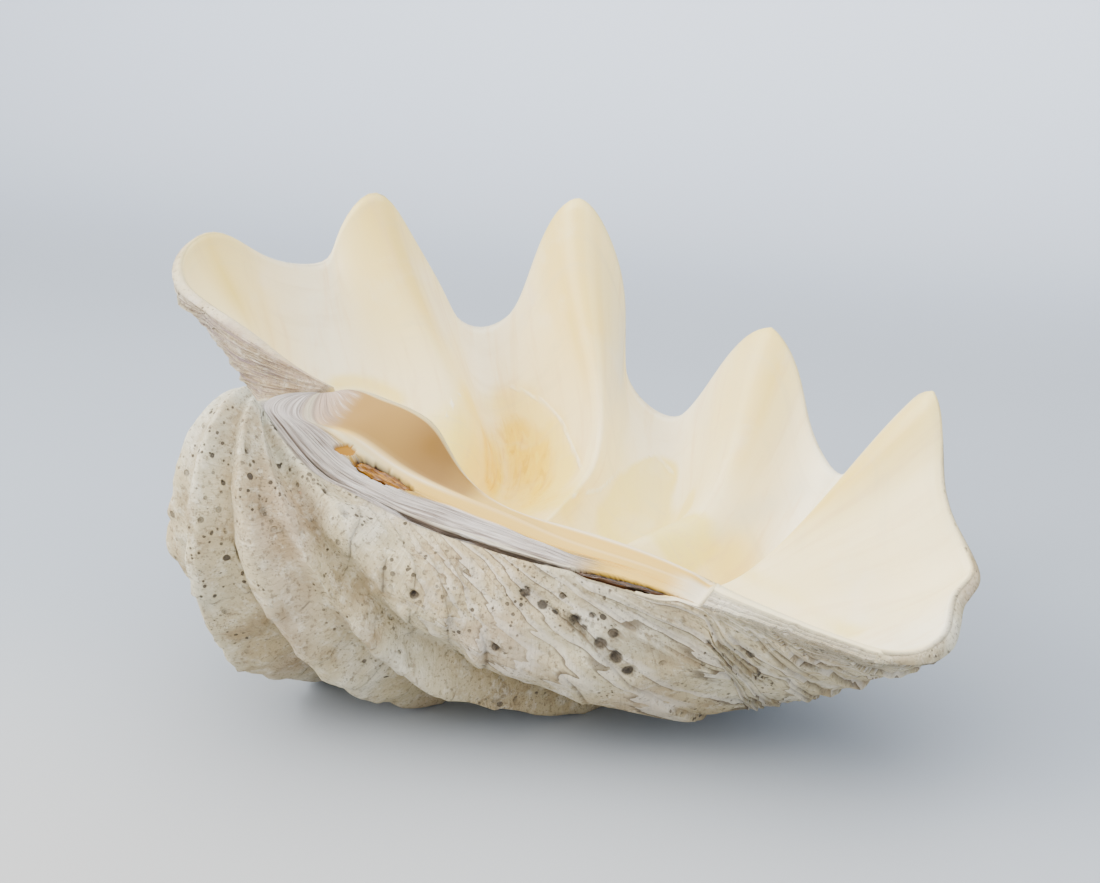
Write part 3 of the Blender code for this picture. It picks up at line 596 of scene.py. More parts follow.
def shellSkin():
    around = aroundPlaces(mesh["around"])
    outside, rows, foot, hole = makeOutside(around)
    wall = np.linspace(0, 1, mesh["wallRows"])
    plainOuter, inner = innerPoints(around, wall)
    slope = inner[1] - inner[0]
    rise = unit(plainOuter[-1] - plainOuter[-2])
    lip = plainOuter[-1] * (1 - growth["lipCrest"]) + inner[-1] * growth["lipCrest"]
    lip += rise * growth["lipRound"] * byStation(lipThick, around)[:, None]
    edgeShare, underShare, outerShare = growth["tipShares"]
    for name, tall in growth["tipRise"].items():
        beside = np.abs(around - station[name]) < growth["tipBeside"]
        top = around[np.argmax(np.where(beside, toFloor(lip)[:, 2], -1e9))]
        peak = (tall * np.exp(-np.abs(around - top) / growth["tipWidth"]))[:, None]
        lip += rise * peak
        inner[-1] += rise * peak * edgeShare
        inner[-2] += rise * peak * underShare
        outside[-1] -= rise * peak * outerShare
    floor = np.linspace(0, 1, mesh["floorRows"])[1:]
    bottom = floorPoints(inner[0], slope, around, floor)
    platePoints, marks = makePlate()

    skin = Skin()
    line = np.broadcast_to(around, rows.shape)
    phase = linePhase(around, rows)
    outIds = skin.add(outside, around=line, grown=rows, foot=foot, hole=hole, phase=phase)
    most, least = growth["lipInside"]
    start, end = growth["lipInsideReach"]
    lipInside = most - (most - least) * ease((around - start) / (end - start))
    lipIds = skin.add(lip, inside=lipInside, around=around, grown=2.0, phase=phase[-1])
    innerIds = skin.add(inner, inside=1.0, around=around[None], grown=1 + wall[:, None])
    floorIds = skin.add(bottom, inside=1.0, around=around[None], grown=1 - floor[:, None])
    capId = skin.add([(outside[0, 0] + outside[0, -1]) / 2])[0]
    skin.grid(outIds)
    skin.band(outIds[-1], lipIds)
    skin.band(lipIds, innerIds[-1])
    skin.grid(innerIds[::-1])
    skin.band(innerIds[0], floorIds[0])
    skin.grid(floorIds)
    skin.fan(capId, outIds[0][::-1])
    plateIds = skin.add(platePoints, plate=1.0, **marks)
    skin.grid(plateIds)
    skin.zip(floorIds[-1], plateIds[0])
    ring = int(np.argmin(np.abs(rows[:, -1] - 1.0)))
    ringFront = int(np.argmin(np.abs(rows[:, 0] - 1.0)))
    skin.zip(plateIds[-1], list(outIds[:ringFront + 1, 0][::-1]) + [capId] + list(outIds[:ring + 1, -1]))
    skin.fan(innerIds[0, 0], list(plateIds[:, 0]) + [outIds[ringFront, 0]])
    skin.zip(innerIds[:, 0][::-1], outIds[ringFront:, 0][::-1])
    rear = rearRows(skin, inner[:, -1], outside[ring:, -1], rows[ring:, -1], innerIds[:, -1], outIds[ring:, -1])
    skin.fan(innerIds[0, -1], list(plateIds[:, -1]) + [outIds[ring, -1]] + list(rear[::-1, 0]))
    skin.faces.append((innerIds[-1, 0], outIds[-1, 0], lipIds[0]))
    skin.fan(lipIds[-1], [outIds[-1, -1]] + list(rear[::-1, -1]) + [innerIds[-1, -1]])
    return skin


def tone(red, green, blue):    # a colour as a paint chart gives it, made linear
    return np.array([((v / 255 + 0.055) / 1.055) ** 2.4 if v > 10 else v / 3294.6 for v in (red, green, blue)])


palette = {
    "chalk": tone(196, 183, 148), "chalkCool": tone(204, 205, 188), "chalkLilac": tone(190, 168, 152),
    "stainAndShade": tone(146, 122, 80), "porcelain": tone(254, 238, 188), "warm": tone(236, 206, 92),
    "white": tone(253, 250, 238), "cream": tone(253, 227, 138), "peach": tone(220, 178, 76),
    "toothStainAndShade": tone(150, 112, 36), "toothShade": tone(124, 86, 18), "lilac": tone(194, 168, 148),
    "silver": tone(222, 212, 204), "mint": tone(224, 219, 186), "slotDark": tone(44, 19, 5),
    # shadedCrack is painted shade, used in cracks, grooves and bore holes
    "slotAmber": tone(168, 116, 6), "shadedCrack": tone(64, 52, 40), "paleEdgeAndHighlight": tone(247, 236, 208),
}

# Soft patches on the inside: places on the floor frame in mm with a reach, and lines through places
patches = {
    "honey": [(-126, 155, 122, 20), (-127, 188, 121, 17), (-114, 190, 126, 16), (-97, 180, 118, 21),
              (-77, 165, 112, 18), (-122, 156, 105, 20), (-114, 179, 103, 22), (-90, 164, 98, 22),
              (-118, 146, 91, 20), (-103, 154, 82, 22), (-73, 126, 86, 22), (-72, 143, 94, 20), (-47, 102, 97, 18)],
    "honeyPale": [(-126, 109, 143, 32), (-135, 148, 156, 22), (-132, 199, 140, 22), (-102, 191, 145, 24),
                  (-70, 170, 129, 26), (-48, 140, 108, 26), (-27, 89, 103, 24), (-114, 93, 116, 36),
                  (-120, 165, 105, 40), (-90, 150, 90, 40), (-60, 115, 92, 34)],
    "arch": [(-5, 129, 78, 24), (-5, 159, 93, 18), (0, 180, 100, 14), (9, 189, 104, 13), (24, 182, 102, 16),
             (56, 130, 97, 22), (84, 80, 94, 22), (13, 165, 80, 26), (14, 144, 67, 30), (66, 66, 98, 28),
             (83, 60, 85, 24), (40, 110, 72, 40)],
    "rearGold": [(96, 83, 84, 24), (109, 90, 72, 28)],
    # shadedTrough: painted shade on the far side of a groove inside
    "shadedTrough": [(96, 88, 96, 12), (108, 104, 102, 13), (118, 113, 107, 13), (128, 122, 112, 13),
                   (146, 130, 123, 13), (169, 128, 136, 12)],
}
goldLines = [
    [(128, 42, 90), (143, 33, 86), (175, 24, 80), (208, 8, 73), (232, -5, 68)],
    [(-230, 96, 173), (-221, 104, 174), (-209, 107, 173), (-192, 108, 169), (-177, 106, 163)],
]
folds = [
    [(-136, 109, 154), (-137, 125, 166), (-124, 201, 156), (-90, 186, 151), (-66, 170, 142), (-46, 149, 125),
     (-20, 117, 112)],
    [(-24, 85, 106), (-21, 103, 105), (-15, 130, 101), (-11, 164, 108), (-3, 189, 112), (8, 194, 114),
     (24, 184, 106), (50, 146, 102)],
]
darkRun = [(-110, -200, 190), (-105, -196, 150), (-95, -180, 110), (-85, -150, 70)]    # a dark run down the outside, stain and painted shade along a groove between ribs
lineWidths = {"goldLine": 7.0, "darkRun": 13.0}
patchSoftness = 0.6


def patchShare(points, places):
    total = np.zeros(len(points))
    for x, y, z, reach in places:
        total += np.exp(-np.sum((points - (x, y, z)) ** 2, axis=1) / (2 * (reach * patchSoftness) ** 2))
    return 1 - np.exp(-total)


def awayFrom(points, lines):    # how far each point is from the nearest of some lines
    best = np.full(len(points), 1e9)
    for line in lines:
        for a, b in zip(np.array(line[:-1], float), np.array(line[1:], float)):
            t = np.clip((points - a) @ (b - a) / ((b - a) @ (b - a)), 0, 1)
            best = np.minimum(best, np.linalg.norm(points - a - t[:, None] * (b - a), axis=1))
    return best


def layered(colour, coats):    # a colour with others laid over it one by one, each as much as its share says
    for share, other in coats:
        share = np.clip(share, 0, 1)[:, None]
        colour = colour * (1 - share) + (palette[other] if isinstance(other, str) else other) * share
    return colour


def paint(skin, down):    # the broad colours, one for each point of the shell
    inside, isPlate, around, grown, across, x = [
        skin.values(name) for name in ("inside", "plate", "around", "grown", "across", "hingeX")]
    broad = lumps(down, 60, 11)
    mid = lumps(down, 22, 12)
    valley = alongEach("tip", around, 0.032)
    wing = ease((0.13 - around) / 0.06) * ease((grown - 0.9) / 0.3)
    joint = ease((380 - np.array(skin.points)[:, 0]) / 50) * (skin.values("rear") > 0)
    outside = layered(palette["chalk"], [
        (0.55 * ease(broad * 1.6 - 0.1), "chalkCool"),
        (0.5 * ease(-broad * 1.6 - 0.1), "chalkLilac"),
        (0.40 * ease(mid * 1.8 - 0.25), "stainAndShade"),
        (0.75 * ease((0.50 - grown) / 0.25) * ease(0.75 + broad), "chalkCool"),
        # stain and painted shade in the grooves between the ribs on the outside
        (0.42 * valley * ease(0.6 + mid) * ease((1.3 - grown) / 0.3), "stainAndShade"),
        # darker towards the bottom
        (0.25 * ease((70 - down[:, 2]) / 70), "stainAndShade"),
        # stain and painted shade along the dark run
        (0.4 * bell(awayFrom(down, [darkRun]), lineWidths["darkRun"]), "stainAndShade"),
        (0.45 * wing, "lilac"),
        (0.8 * joint, "paleEdgeAndHighlight"),
    ])

    streak = lumpsOn(around * 42, grown * 1.1, 13)
    fine = lumpsOn(around * 42 * 2.7, grown * 1.1 * 1.3, 14)
    tips = alongEach("tip", around, 0.028)
    troughs = alongEach("rib", around, 0.030)
    high = ease((grown - 1.25) / 0.4)
    within = layered(palette["porcelain"], [
        (0.6 * tips * high, "cream"),
        ((0.30 + 0.9 * streak + 0.5 * fine) * tips * high, "warm"),
        (0.65 * troughs * ease((grown - 1.1) / 0.4), "white"),
        (0.45 * ease((1.25 - grown) / 0.5), "cream"),
    ])

    toothFace = ease((0.30 - across) / 0.03)
    underTooth = (0.6 - 0.4 * ease((x - 120) / 40)) * bell(across - 0.33, 0.03)
    strip = ease((across - 0.585 + 0.07 * ease((x - 118) / 30) * ease((240 - x) / 60)) / 0.03)
    strip = np.maximum(strip * ease((262 - x) / 30), ease((across - 0.50) / 0.05) * ease((75 - x) / 20))
    ridgeFoot = bell(across - 0.893, 0.016) * ease((x - 100) / 30)
    outerEdge = ease((across - 0.955 + 0.035 * ease((x - 255) / 20)) / 0.02)
    hinge = layered(palette["peach"], [
        # the tooth's brown is partly stain, partly painted shade, with more painted shade towards its right
        (toothFace, "toothStainAndShade"),
        (0.7 * toothFace * ease((x - 88) / 34) * ease((150 - x) / 20), "toothShade"),
        (toothFace * ease((x - 148) / 20), "peach"),
        # painted highlight along the plate's inner edge
        (0.6 * ease((0.10 - across) / 0.05) * ease((x - 150) / 30), "paleEdgeAndHighlight"),
        (ease((62 - x) / 30), "lilac"),
        (underTooth * ease((x - 60) / 20), "paleEdgeAndHighlight"),
        (0.65 * bell(across - 0.42, 0.07) * ease((130 - x) / 50), "mint"),
        (strip, "silver"),
        (0.6 * strip * ease(lumpsOn(x / 30, across * 60, 17)), "lilac"),
        (0.9 * ridgeFoot * ease((262 - x) / 20), "paleEdgeAndHighlight"),
        (outerEdge * ease((x - 120) / 60), "chalk"),
        (0.8 * ease((x - 298) / 26) * ease((across - 0.1) / 0.2), "paleEdgeAndHighlight"),
        # painted shade in the plate's groove and crack
        (skin.values("dark") * 1.7, "shadedCrack"),
    ])

    amber = ease((78 - x) / 3) + ease((x - 306) / 5)
    pocket = layered(palette["slotDark"], [(amber, "slotAmber")])
    slot = ease((skin.values("slot") - 0.25) / 0.4)
    colour = layered(outside, [
        # painted shadow under the layers' free edges, then painted shade in the bore holes
        (inside, within), (isPlate, hinge), (slot, pocket), (0.75 * skin.values("foot"), "shadedCrack"),
        (0.8 * skin.values("hole"), "shadedCrack"),
    ])
    return np.clip(colour, 0, 1)


def reworkMesh(data, change):
    work = bmesh.new()
    work.from_mesh(data)
    change(work)
    work.to_mesh(data)
    work.free()


def faceOut(work):
    bmesh.ops.recalc_face_normals(work, faces=work.faces)
    if work.calc_volume(signed=True) < 0:
        bmesh.ops.reverse_faces(work, faces=work.faces)


def mergeClose(work):
    bmesh.ops.remove_doubles(work, verts=work.verts, dist=mesh["mergeWithin"])


def newMesh(name, points, faces):
    data = bpy.data.meshes.new(name)
    data.from_pydata([tuple(p) for p in points * millimetre], [], [tuple(int(i) for i in f) for f in faces])
    reworkMesh(data, faceOut)
    data.shade_smooth()
    piece = bpy.data.objects.new(name, data)
    bpy.context.scene.collection.objects.link(piece)
    return piece


def keepIn(points):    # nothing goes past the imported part's box or through the floor
    low, high = [np.array(corner) / millimetre for corner in cadBounds]
    return np.clip(points, low, high)


def setValues(piece, name, values):
    values = np.asarray(values, np.float32)
    if values.ndim == 1:
        layer = piece.data.attributes.new(name, "FLOAT", "POINT")
        layer.data.foreach_set("value", values)
    else:
        values = np.concatenate([values, np.ones((len(values), 1), np.float32)], axis=1)
        layer = piece.data.color_attributes.new(name, "FLOAT_COLOR", "POINT")
        layer.data.foreach_set("color", values.ravel())


def makeShell():
    skin = shellSkin()
    down = keepIn(toFloor(np.array(skin.points)))
    inside, isPlate, around, grown, x, across = [
        skin.values(name) for name in ("inside", "plate", "around", "grown", "hingeX", "across")]
    piece = newMesh("shellValve", down, skin.faces)
    fibrous = ease((across - 0.46 - 0.06 * ease((x - 105) / 30)) / 0.06) * ease((272 - x) / 30)
    fibrous = np.maximum(fibrous, 0.8 * ease((60 - x) / 16))
    youngLength = growth["youngLength"] * growth["youngest"] ** (1 - grown)
    wallLength = growth["youngLength"] + growth["wallLength"] * (grown - 1)
    crowded = ease((around - 0.86) / 0.06) * ease((grown - 0.60) / 0.2) * ease((2.02 - grown) / 0.06)
    marks = {
        "paint": paint(skin, down),
        "chalky": np.clip(1 - inside - isPlate, 0, 1),
        "fibrous": isPlate * fibrous * (1 - skin.values("slot")),
        "innerFace": inside * (1 - isPlate),
        "grownLength": np.where(grown <= 1, youngLength, wallLength) * millimetre,
        "aroundLength": around * growth["metresAround"],
        "phase": skin.values("phase"),
        "crowded": crowded,
        "pitted": ease((around - 0.90) / 0.05) * ease((0.86 - grown) / 0.2) * (1 - inside),
        "wing": ease((0.16 - around) / 0.06) * ease((grown - 0.8) / 0.3),
        "hingeX": x * millimetre,
        "across": across,
        **{name: patchShare(down, places) for name, places in patches.items()},
        "goldLine": bell(awayFrom(down, goldLines), lineWidths["goldLine"]),
        "foldAway": awayFrom(down, folds) * millimetre,
    }
    for name, values in marks.items():
        setValues(piece, name, values)
    reworkMesh(piece.data, mergeClose)
    triangles = sum(len(p.vertices) - 2 for p in piece.data.polygons)
    print("shell", len(piece.data.vertices), "points", triangles, "triangles")
    return piece


class Nodes:    # short ways to add shader nodes
    def __init__(self, name):
        self.material = bpy.data.materials.new(name)
        self.material.use_nodes = True
        self.tree = self.material.node_tree
        self.shader = self.tree.nodes["Principled BSDF"]

    def set(self, node, sockets):    # gives each socket a link, a colour or a number
        for name, value in sockets.items():
            socket = node.inputs[name]
            if isinstance(value, bpy.types.NodeSocket):
                self.tree.links.new(value, socket)
            elif socket.type == "RGBA":
                socket.default_value = (*value, 1.0)
            else:
                socket.default_value = value

    def add(self, kind, sockets=None, **settings):
        node = self.tree.nodes.new(kind)
        for name, value in settings.items():
            setattr(node, name, value)
        self.set(node, sockets or {})
        return node

    def attribute(self, name, output="Fac"):
        return self.add("ShaderNodeAttribute", attribute_name=name).outputs[output]

    def place(self):
        return self.add("ShaderNodeTexCoord").outputs["Object"]

    def math(self, operation, a, b=0.0):
        return self.add("ShaderNodeMath", {0: a, 1: b}, operation=operation).outputs[0]

    def times(self, *parts):
        return functools.reduce(lambda a, b: self.math("MULTIPLY", a, b), parts)

    def plus(self, *parts):
        return functools.reduce(lambda a, b: self.math("ADD", a, b), parts)

    def weighed(self, *parts):    # a sum of patterns, each with its weight
        return self.plus(*[self.times(value, weight) for value, weight in parts])

    def join(self, x, y, z=0.0):
        return self.add("ShaderNodeCombineXYZ", {0: x, 1: y, 2: z}).outputs[0]

    def noise(self, where, scale, detail=3.0, roughness=0.55, distortion=0.0):
        return self.add("ShaderNodeTexNoise", {
            "Vector": where, "Scale": scale, "Detail": detail, "Roughness": roughness, "Distortion": distortion,
        }).outputs["Fac"]

    def drawn(self, a, perA, b, perB, *look):    # noise on two measures, each with its own scale
        return self.noise(self.join(self.times(a, perA), self.times(b, perB)), 1.0, *look)

    def cells(self, where, scale, output="Distance"):
        return self.add("ShaderNodeTexVoronoi", {"Vector": where, "Scale": scale}).outputs[output]

    def ramp(self, value, low, high):
        sockets = {"Value": value, "From Min": low, "From Max": high}
        return self.add("ShaderNodeMapRange", sockets, interpolation_type="SMOOTHSTEP").outputs[0]

    def bores(self, where, scale, small, large, chosen, cluster):    # round holes in some cells only
        who = self.add("ShaderNodeSeparateColor", {0: self.cells(where, scale, "Color")})
        size = self.plus(small, self.times(who.outputs[1], large - small))
        inside = self.ramp(self.math("SUBTRACT", size, self.cells(where, scale)), 0.0, 0.08)
        return self.times(inside, self.ramp(who.outputs[0], chosen, chosen + 0.04), cluster)

    def mix(self, share, a, b):
        sockets = {"Factor": share, "A": a, "B": b}
        return self.add("ShaderNodeMix", sockets, data_type="RGBA").outputs["Result"]

    def tint(self, colour, mask, rows):    # a row: pattern, where it starts and is full, how much, colour
        for pattern, low, high, amount, other in rows:
            colour = self.mix(self.times(self.ramp(pattern, low, high), mask, amount), colour, tone(*other))
        return colour

    def bump(self, height, strength, distance):
        sockets = {"Strength": strength, "Distance": distance, "Height": height}
        return self.add("ShaderNodeBump", sockets).outputs["Normal"]


def chalkLook(n, where, colour, chalky):    # dusty, stained, bored and lined outside
    dust = n.noise(where, 110.0, 6.0, 0.7)
    grime = n.noise(where, 26.0, 6.0, 0.62)
    blotch = n.noise(where, 11.0, 4.0, 0.6, 0.6)
    speck = n.noise(where, 300.0, 3.0, 0.7)
    grown, along, wing, crowded, phase, pitted = [
        n.attribute(name) for name in ("grownLength", "aroundLength", "wing", "crowded", "phase", "pitted")]
    lines = n.drawn(along, 11.0, grown, 300.0, 5.0, 0.62, 0.5)
    colour = n.tint(colour, chalky, [
        (blotch, 0.48, 0.70, 0.52, (172, 148, 106)), (blotch, 0.46, 0.30, 0.45, (226, 222, 208)),
        (grime, 0.50, 0.68, 0.58, (142, 120, 84)), (dust, 0.48, 0.70, 0.42, (240, 234, 214)),
        (speck, 0.53, 0.66, 0.55, (104, 88, 64)), (lines, 0.55, 0.68, 0.30, (132, 116, 96)),
    ])
    colour = n.tint(colour, n.times(wing, chalky), [
        (lines, 0.46, 0.62, 0.75, (132, 112, 116)), (lines, 0.42, 0.32, 0.5, (226, 216, 212)),
    ])

    # thin crowded growth lines near the rear end
    wave = n.drawn(along, 16.0, phase, 9.0, 3.0, 0.6)
    saw = n.math("FRACT", n.weighed((phase, 26.0), (wave, 3.4)))
    keep = n.ramp(n.noise(where, 24.0, 3.0, 0.6), 0.36, 0.52)
    colour = n.tint(colour, n.times(crowded, chalky, keep), [(saw, 0.84, 0.97, 0.72, (84, 70, 56))])
    colour = n.tint(colour, n.times(crowded, chalky), [(saw, 0.5, 0.1, 0.35, (232, 226, 214))])

    # bore holes of four sizes: the small ones in clusters, the largest at their own places; all are painted dark as
    # shade in the holes
    umbo = n.times(n.ramp(grown, 0.26, 0.18), n.ramp(n.noise(where, 40.0, 3.0, 0.6), 0.38, 0.52))
    hinge = n.times(pitted, n.ramp(n.noise(where, 34.0, 3.0, 0.6), 0.44, 0.52))
    cluster = n.math("MAXIMUM", n.ramp(n.noise(where, 16.0, 3.0, 0.6, 0.5), 0.47, 0.60), umbo)
    anywhere = n.ramp(n.noise(where, 30.0, 4.0, 0.6), 0.44, 0.60)
    shift = n.join(n.times(dust, 0.003), n.times(grime, 0.006), n.times(speck, 0.0012))
    warped = n.add("ShaderNodeVectorMath", {0: where, 1: shift}, operation="ADD").outputs[0]
    middling = n.math("MAXIMUM", n.bores(warped, 260.0, 0.22, 0.40, 0.66, cluster),
                      n.bores(warped, 210.0, 0.22, 0.44, 0.42, hinge))
    big = None
    for x, y, z, radius, _ in pits:
        place = tuple(np.add((x, y, z), pitShift) * millimetre)
        away = n.add("ShaderNodeVectorMath", {0: warped, 1: place}, operation="DISTANCE").outputs["Value"]
        apart = n.math("DIVIDE", away, radius * millimetre)
        big = apart if big is None else n.math("MINIMUM", big, apart)
    big = n.ramp(n.plus(big, n.times(speck, 0.5)), 1.35, 0.95)
    holes = n.bores(warped, 120.0, 0.20, 0.34, 0.74, cluster)
    fine = n.bores(warped, 620.0, 0.20, 0.42, 0.55, anywhere)
    fine, middling, holes, big = [n.times(kind, chalky) for kind in (fine, middling, holes, big)]
    bottom = n.mix(n.ramp(dust, 0.42, 0.62), tone(38, 31, 25), tone(96, 84, 68))
    for kind, amount, other in ((fine, 0.55, tone(104, 92, 76)), (middling, 0.85, tone(62, 52, 42)),
                                (holes, 0.90, tone(58, 50, 42)), (big, 0.86, bottom)):
        colour = n.mix(n.times(kind, amount), colour, other)

    grain = n.weighed((dust, 0.9), (lines, 0.7), (grime, 1.6), (n.times(saw, crowded), 0.9))
    sunk = n.weighed((holes, 1.5), (middling, 0.8), (fine, 0.35), (big, 1.6))
    return colour, n.times(n.math("SUBTRACT", grain, sunk), chalky)


def porcelainLook(n, where, colour):    # smooth inside with the muscle scar and yellow stains
    inner = n.attribute("innerFace")
    grown = n.attribute("grownLength")
    along = n.attribute("aroundLength")
    cloud = n.noise(where, 22.0, 5.0, 0.55, 0.4)
    wide = n.noise(where, 8.0, 3.0, 0.5, 0.3)
    ragged = n.times(n.math("SUBTRACT", cloud, 0.5), 0.55)
    rays = n.drawn(along, 44.0, grown, 9.0, 4.0, 0.6, 0.3)
    bands = n.drawn(along, 5.0, grown, 46.0, 3.0, 0.55, 0.6)
    streaks = n.drawn(along, 60.0, grown, 24.0, 3.0, 0.6, 1.2)
    gold = n.math("MAXIMUM", n.attribute("rearGold"), n.attribute("goldLine"))
    stainsAndShade = [    # a soft patch, how ragged it is, where it starts and is full, how much, its colour
        (n.attribute("honeyPale"), 1.0, 0.20, 0.75, 0.74, (248, 222, 84)),
        (n.attribute("arch"), 1.0, 0.34, 0.62, 0.85, (246, 226, 116)),
        (gold, 0.6, 0.05, 0.95, 0.75, (248, 222, 100)),
        # painted shade on one side of a trough between the tips
        (n.attribute("shadedTrough"), 1.0, 0.05, 1.0, 0.60, (222, 220, 198)),
        (n.attribute("honey"), 1.5, 0.30, 0.92, 0.86, (244, 208, 14)),
    ]
    for patch, raggedness, low, high, amount, other in stainsAndShade:
        core = n.ramp(n.plus(patch, n.times(ragged, raggedness)), low, high)    # the last is the scar's honey core
        colour = n.mix(n.times(core, inner, amount), colour, tone(*other))
    colour = n.tint(colour, n.times(core, inner), [
        (streaks, 0.50, 0.66, 0.60, (220, 176, 14)), (streaks, 0.45, 0.34, 0.40, (252, 236, 104)),
    ])
    rim = n.ramp(n.plus(n.attribute("foldAway"), n.times(ragged, 0.004)), 0.0030, 0.0008)
    colour = n.mix(n.times(rim, inner, 0.70), colour, tone(254, 250, 236))
    colour = n.tint(colour, inner, [
        (rays, 0.50, 0.70, 0.34, (230, 200, 140)), (bands, 0.52, 0.72, 0.24, (220, 206, 166)),
        (wide, 0.52, 0.70, 0.22, (230, 226, 200)), (cloud, 0.56, 0.74, 0.20, (252, 248, 240)),
    ])
    height = n.weighed((rays, 0.16), (bands, 0.16), (rim, 0.25), (core, -0.22))
    return colour, n.times(height, inner), cloud


def fibreLook(n, colour):    # long fibres on the strip that carried the ligament
    fibrous = n.attribute("fibrous")
    x = n.attribute("hingeX")
    across = n.attribute("across")
    fibre = n.drawn(x, 30.0, across, 90.0, 5.0, 0.65, 0.4)
    broad = n.drawn(x, 16.0, across, 24.0, 4.0, 0.6, 0.3)
    colour = n.tint(colour, fibrous, [
        (broad, 0.48, 0.64, 0.72, (140, 122, 110)), (broad, 0.46, 0.32, 0.7, (246, 242, 236)),
        (fibre, 0.52, 0.62, 0.74, (100, 84, 70)), (fibre, 0.42, 0.30, 0.45, (240, 234, 228)),
    ])
    return colour, n.times(fibre, fibrous), fibrous


shellSurface = {
    "Specular IOR Level": 0.38, "Subsurface Weight": 0.07, "Subsurface Radius": (0.02, 0.013, 0.008),
    "Subsurface Scale": 0.5,
}
shellRelief = {"strength": 0.9, "distance": 0.0020}


def shellMaterial():
    n = Nodes("shell")
    where = n.place()
    chalky = n.attribute("chalky")
    colour, chalkHeight = chalkLook(n, where, n.attribute("paint", "Color"), chalky)
    colour, innerHeight, cloud = porcelainLook(n, where, colour)
    colour, fibreHeight, fibrous = fibreLook(n, colour)
    rough = n.plus(n.weighed((chalky, 0.50), (fibrous, 0.26), (cloud, 0.16)), 0.27)
    height = n.plus(chalkHeight, innerHeight, n.times(fibreHeight, 1.3))
    n.set(n.shader, {
        "Base Color": colour, "Roughness": rough, "Normal": n.bump(height, **shellRelief), **shellSurface,
    })
    return n.material


ligament = {
    "front": {"from": 79.0, "to": 118.0, "near": 0.455, "far": 0.605, "skew": -0.015, "bottom": -4.7, "top": -0.9,
              "dark": tone(104, 60, 2), "warm": tone(184, 128, 8)},
    "rear": {"from": 245.5, "to": 318.0, "near": 0.835, "far": 0.925, "skew": -0.06, "bottom": -4.7, "top": -1.5,
             "dark": tone(28, 17, 9), "warm": tone(98, 60, 22)},
    "cuts": 18, "blunt": 0.02, "taper": 0.35, "narrow": 0.25, "fibreLength": 0.05, "ragged": (0.62, 0.55, 0.25),
}


def makeLigament(name, node):
    sizes = ligament[name]
    bpy.ops.object.select_all(action="DESELECT")
    bpy.ops.mesh.primitive_cube_add(size=1.0, location=(0.0, 0.0, 0.0))
    piece = bpy.context.active_object
    piece.name = "driedLigament" + name.capitalize()
    bpy.ops.object.mode_set(mode="EDIT")
    bpy.ops.mesh.subdivide(number_cuts=ligament["cuts"])
    bpy.ops.object.mode_set(mode="OBJECT")
    box = np.array([v.co for v in piece.data.vertices]) + 0.5
    along, wide, up = box.T
    middle = (sizes["near"] + sizes["far"]) / 2
    taper = np.clip(4 * along * (1 - along), ligament["blunt"], 1) ** ligament["taper"]
    share = shareAt(sizes["from"] + (sizes["to"] - sizes["from"]) * along, middle)
    narrow = ligament["narrow"] + (1 - ligament["narrow"]) * taper
    across = middle + (sizes["far"] - sizes["near"]) * (wide - 0.5) * narrow + sizes["skew"] * (along - 0.5)
    key = np.stack([along * 9, wide * 5, up], axis=-1)
    usual, coarse, fine = ligament["ragged"]
    ragged = usual + coarse * lumps(key, 1.0, 21) + fine * lumps(key * (3, 4, 1), 1.0, 22)
    height = sizes["bottom"] + (sizes["top"] - sizes["bottom"]) * up * taper * np.clip(ragged, 0.15, 1.1)
    points = keepIn(toFloor(platePoint(share, across, height)))
    for vertex, point in zip(piece.data.vertices, points * millimetre):
        vertex.co = point
    reworkMesh(piece.data, faceOut)
    piece.data.shade_smooth()
    setValues(piece, "fibreAlong", along * ligament["fibreLength"])
    setValues(piece, "fibreAcross", wide)
    piece.data.materials.clear()
    piece.data.materials.append(ligamentMaterial(piece.name, sizes))
    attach(piece, "root")
    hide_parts(node)
    print("dried ligament", name)


def ligamentMaterial(name, sizes):
    n = Nodes(name)
    fibre = n.drawn(n.attribute("fibreAlong"), 60.0, n.attribute("fibreAcross"), 7.0, 5.0, 0.6, 0.4)
    n.set(n.shader, {
        "Base Color": n.mix(n.ramp(fibre, 0.40, 0.68), sizes["dark"], sizes["warm"]),
        "Roughness": n.ramp(fibre, 0.2, 1.6), "Normal": n.bump(fibre, 0.8, 0.0008), "Specular IOR Level": 0.6,
    })
    return n.material


shell = makeShell()
shell.data.materials.append(shellMaterial())
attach(shell, "root")
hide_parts("shell_valve")
makeLigament("front", "ligament_front")
makeLigament("rear", "ligament_rear")

# Plain pale floor that sweeps up behind the shell, with painted light: lighter towards the back and up the sweep
studio = {"width": 18.0, "front": -9.0, "back": 2.6, "height": 4.0, "sweep": 1.2, "steps": 24, "close": 0.01}


def selectEdges(piece, wanted):    # those whose ends are all wanted
    for edge in piece.data.edges:
        edge.select = all(wanted(piece.data.vertices[i].co) for i in edge.vertices)
    bpy.ops.object.mode_set(mode="EDIT")


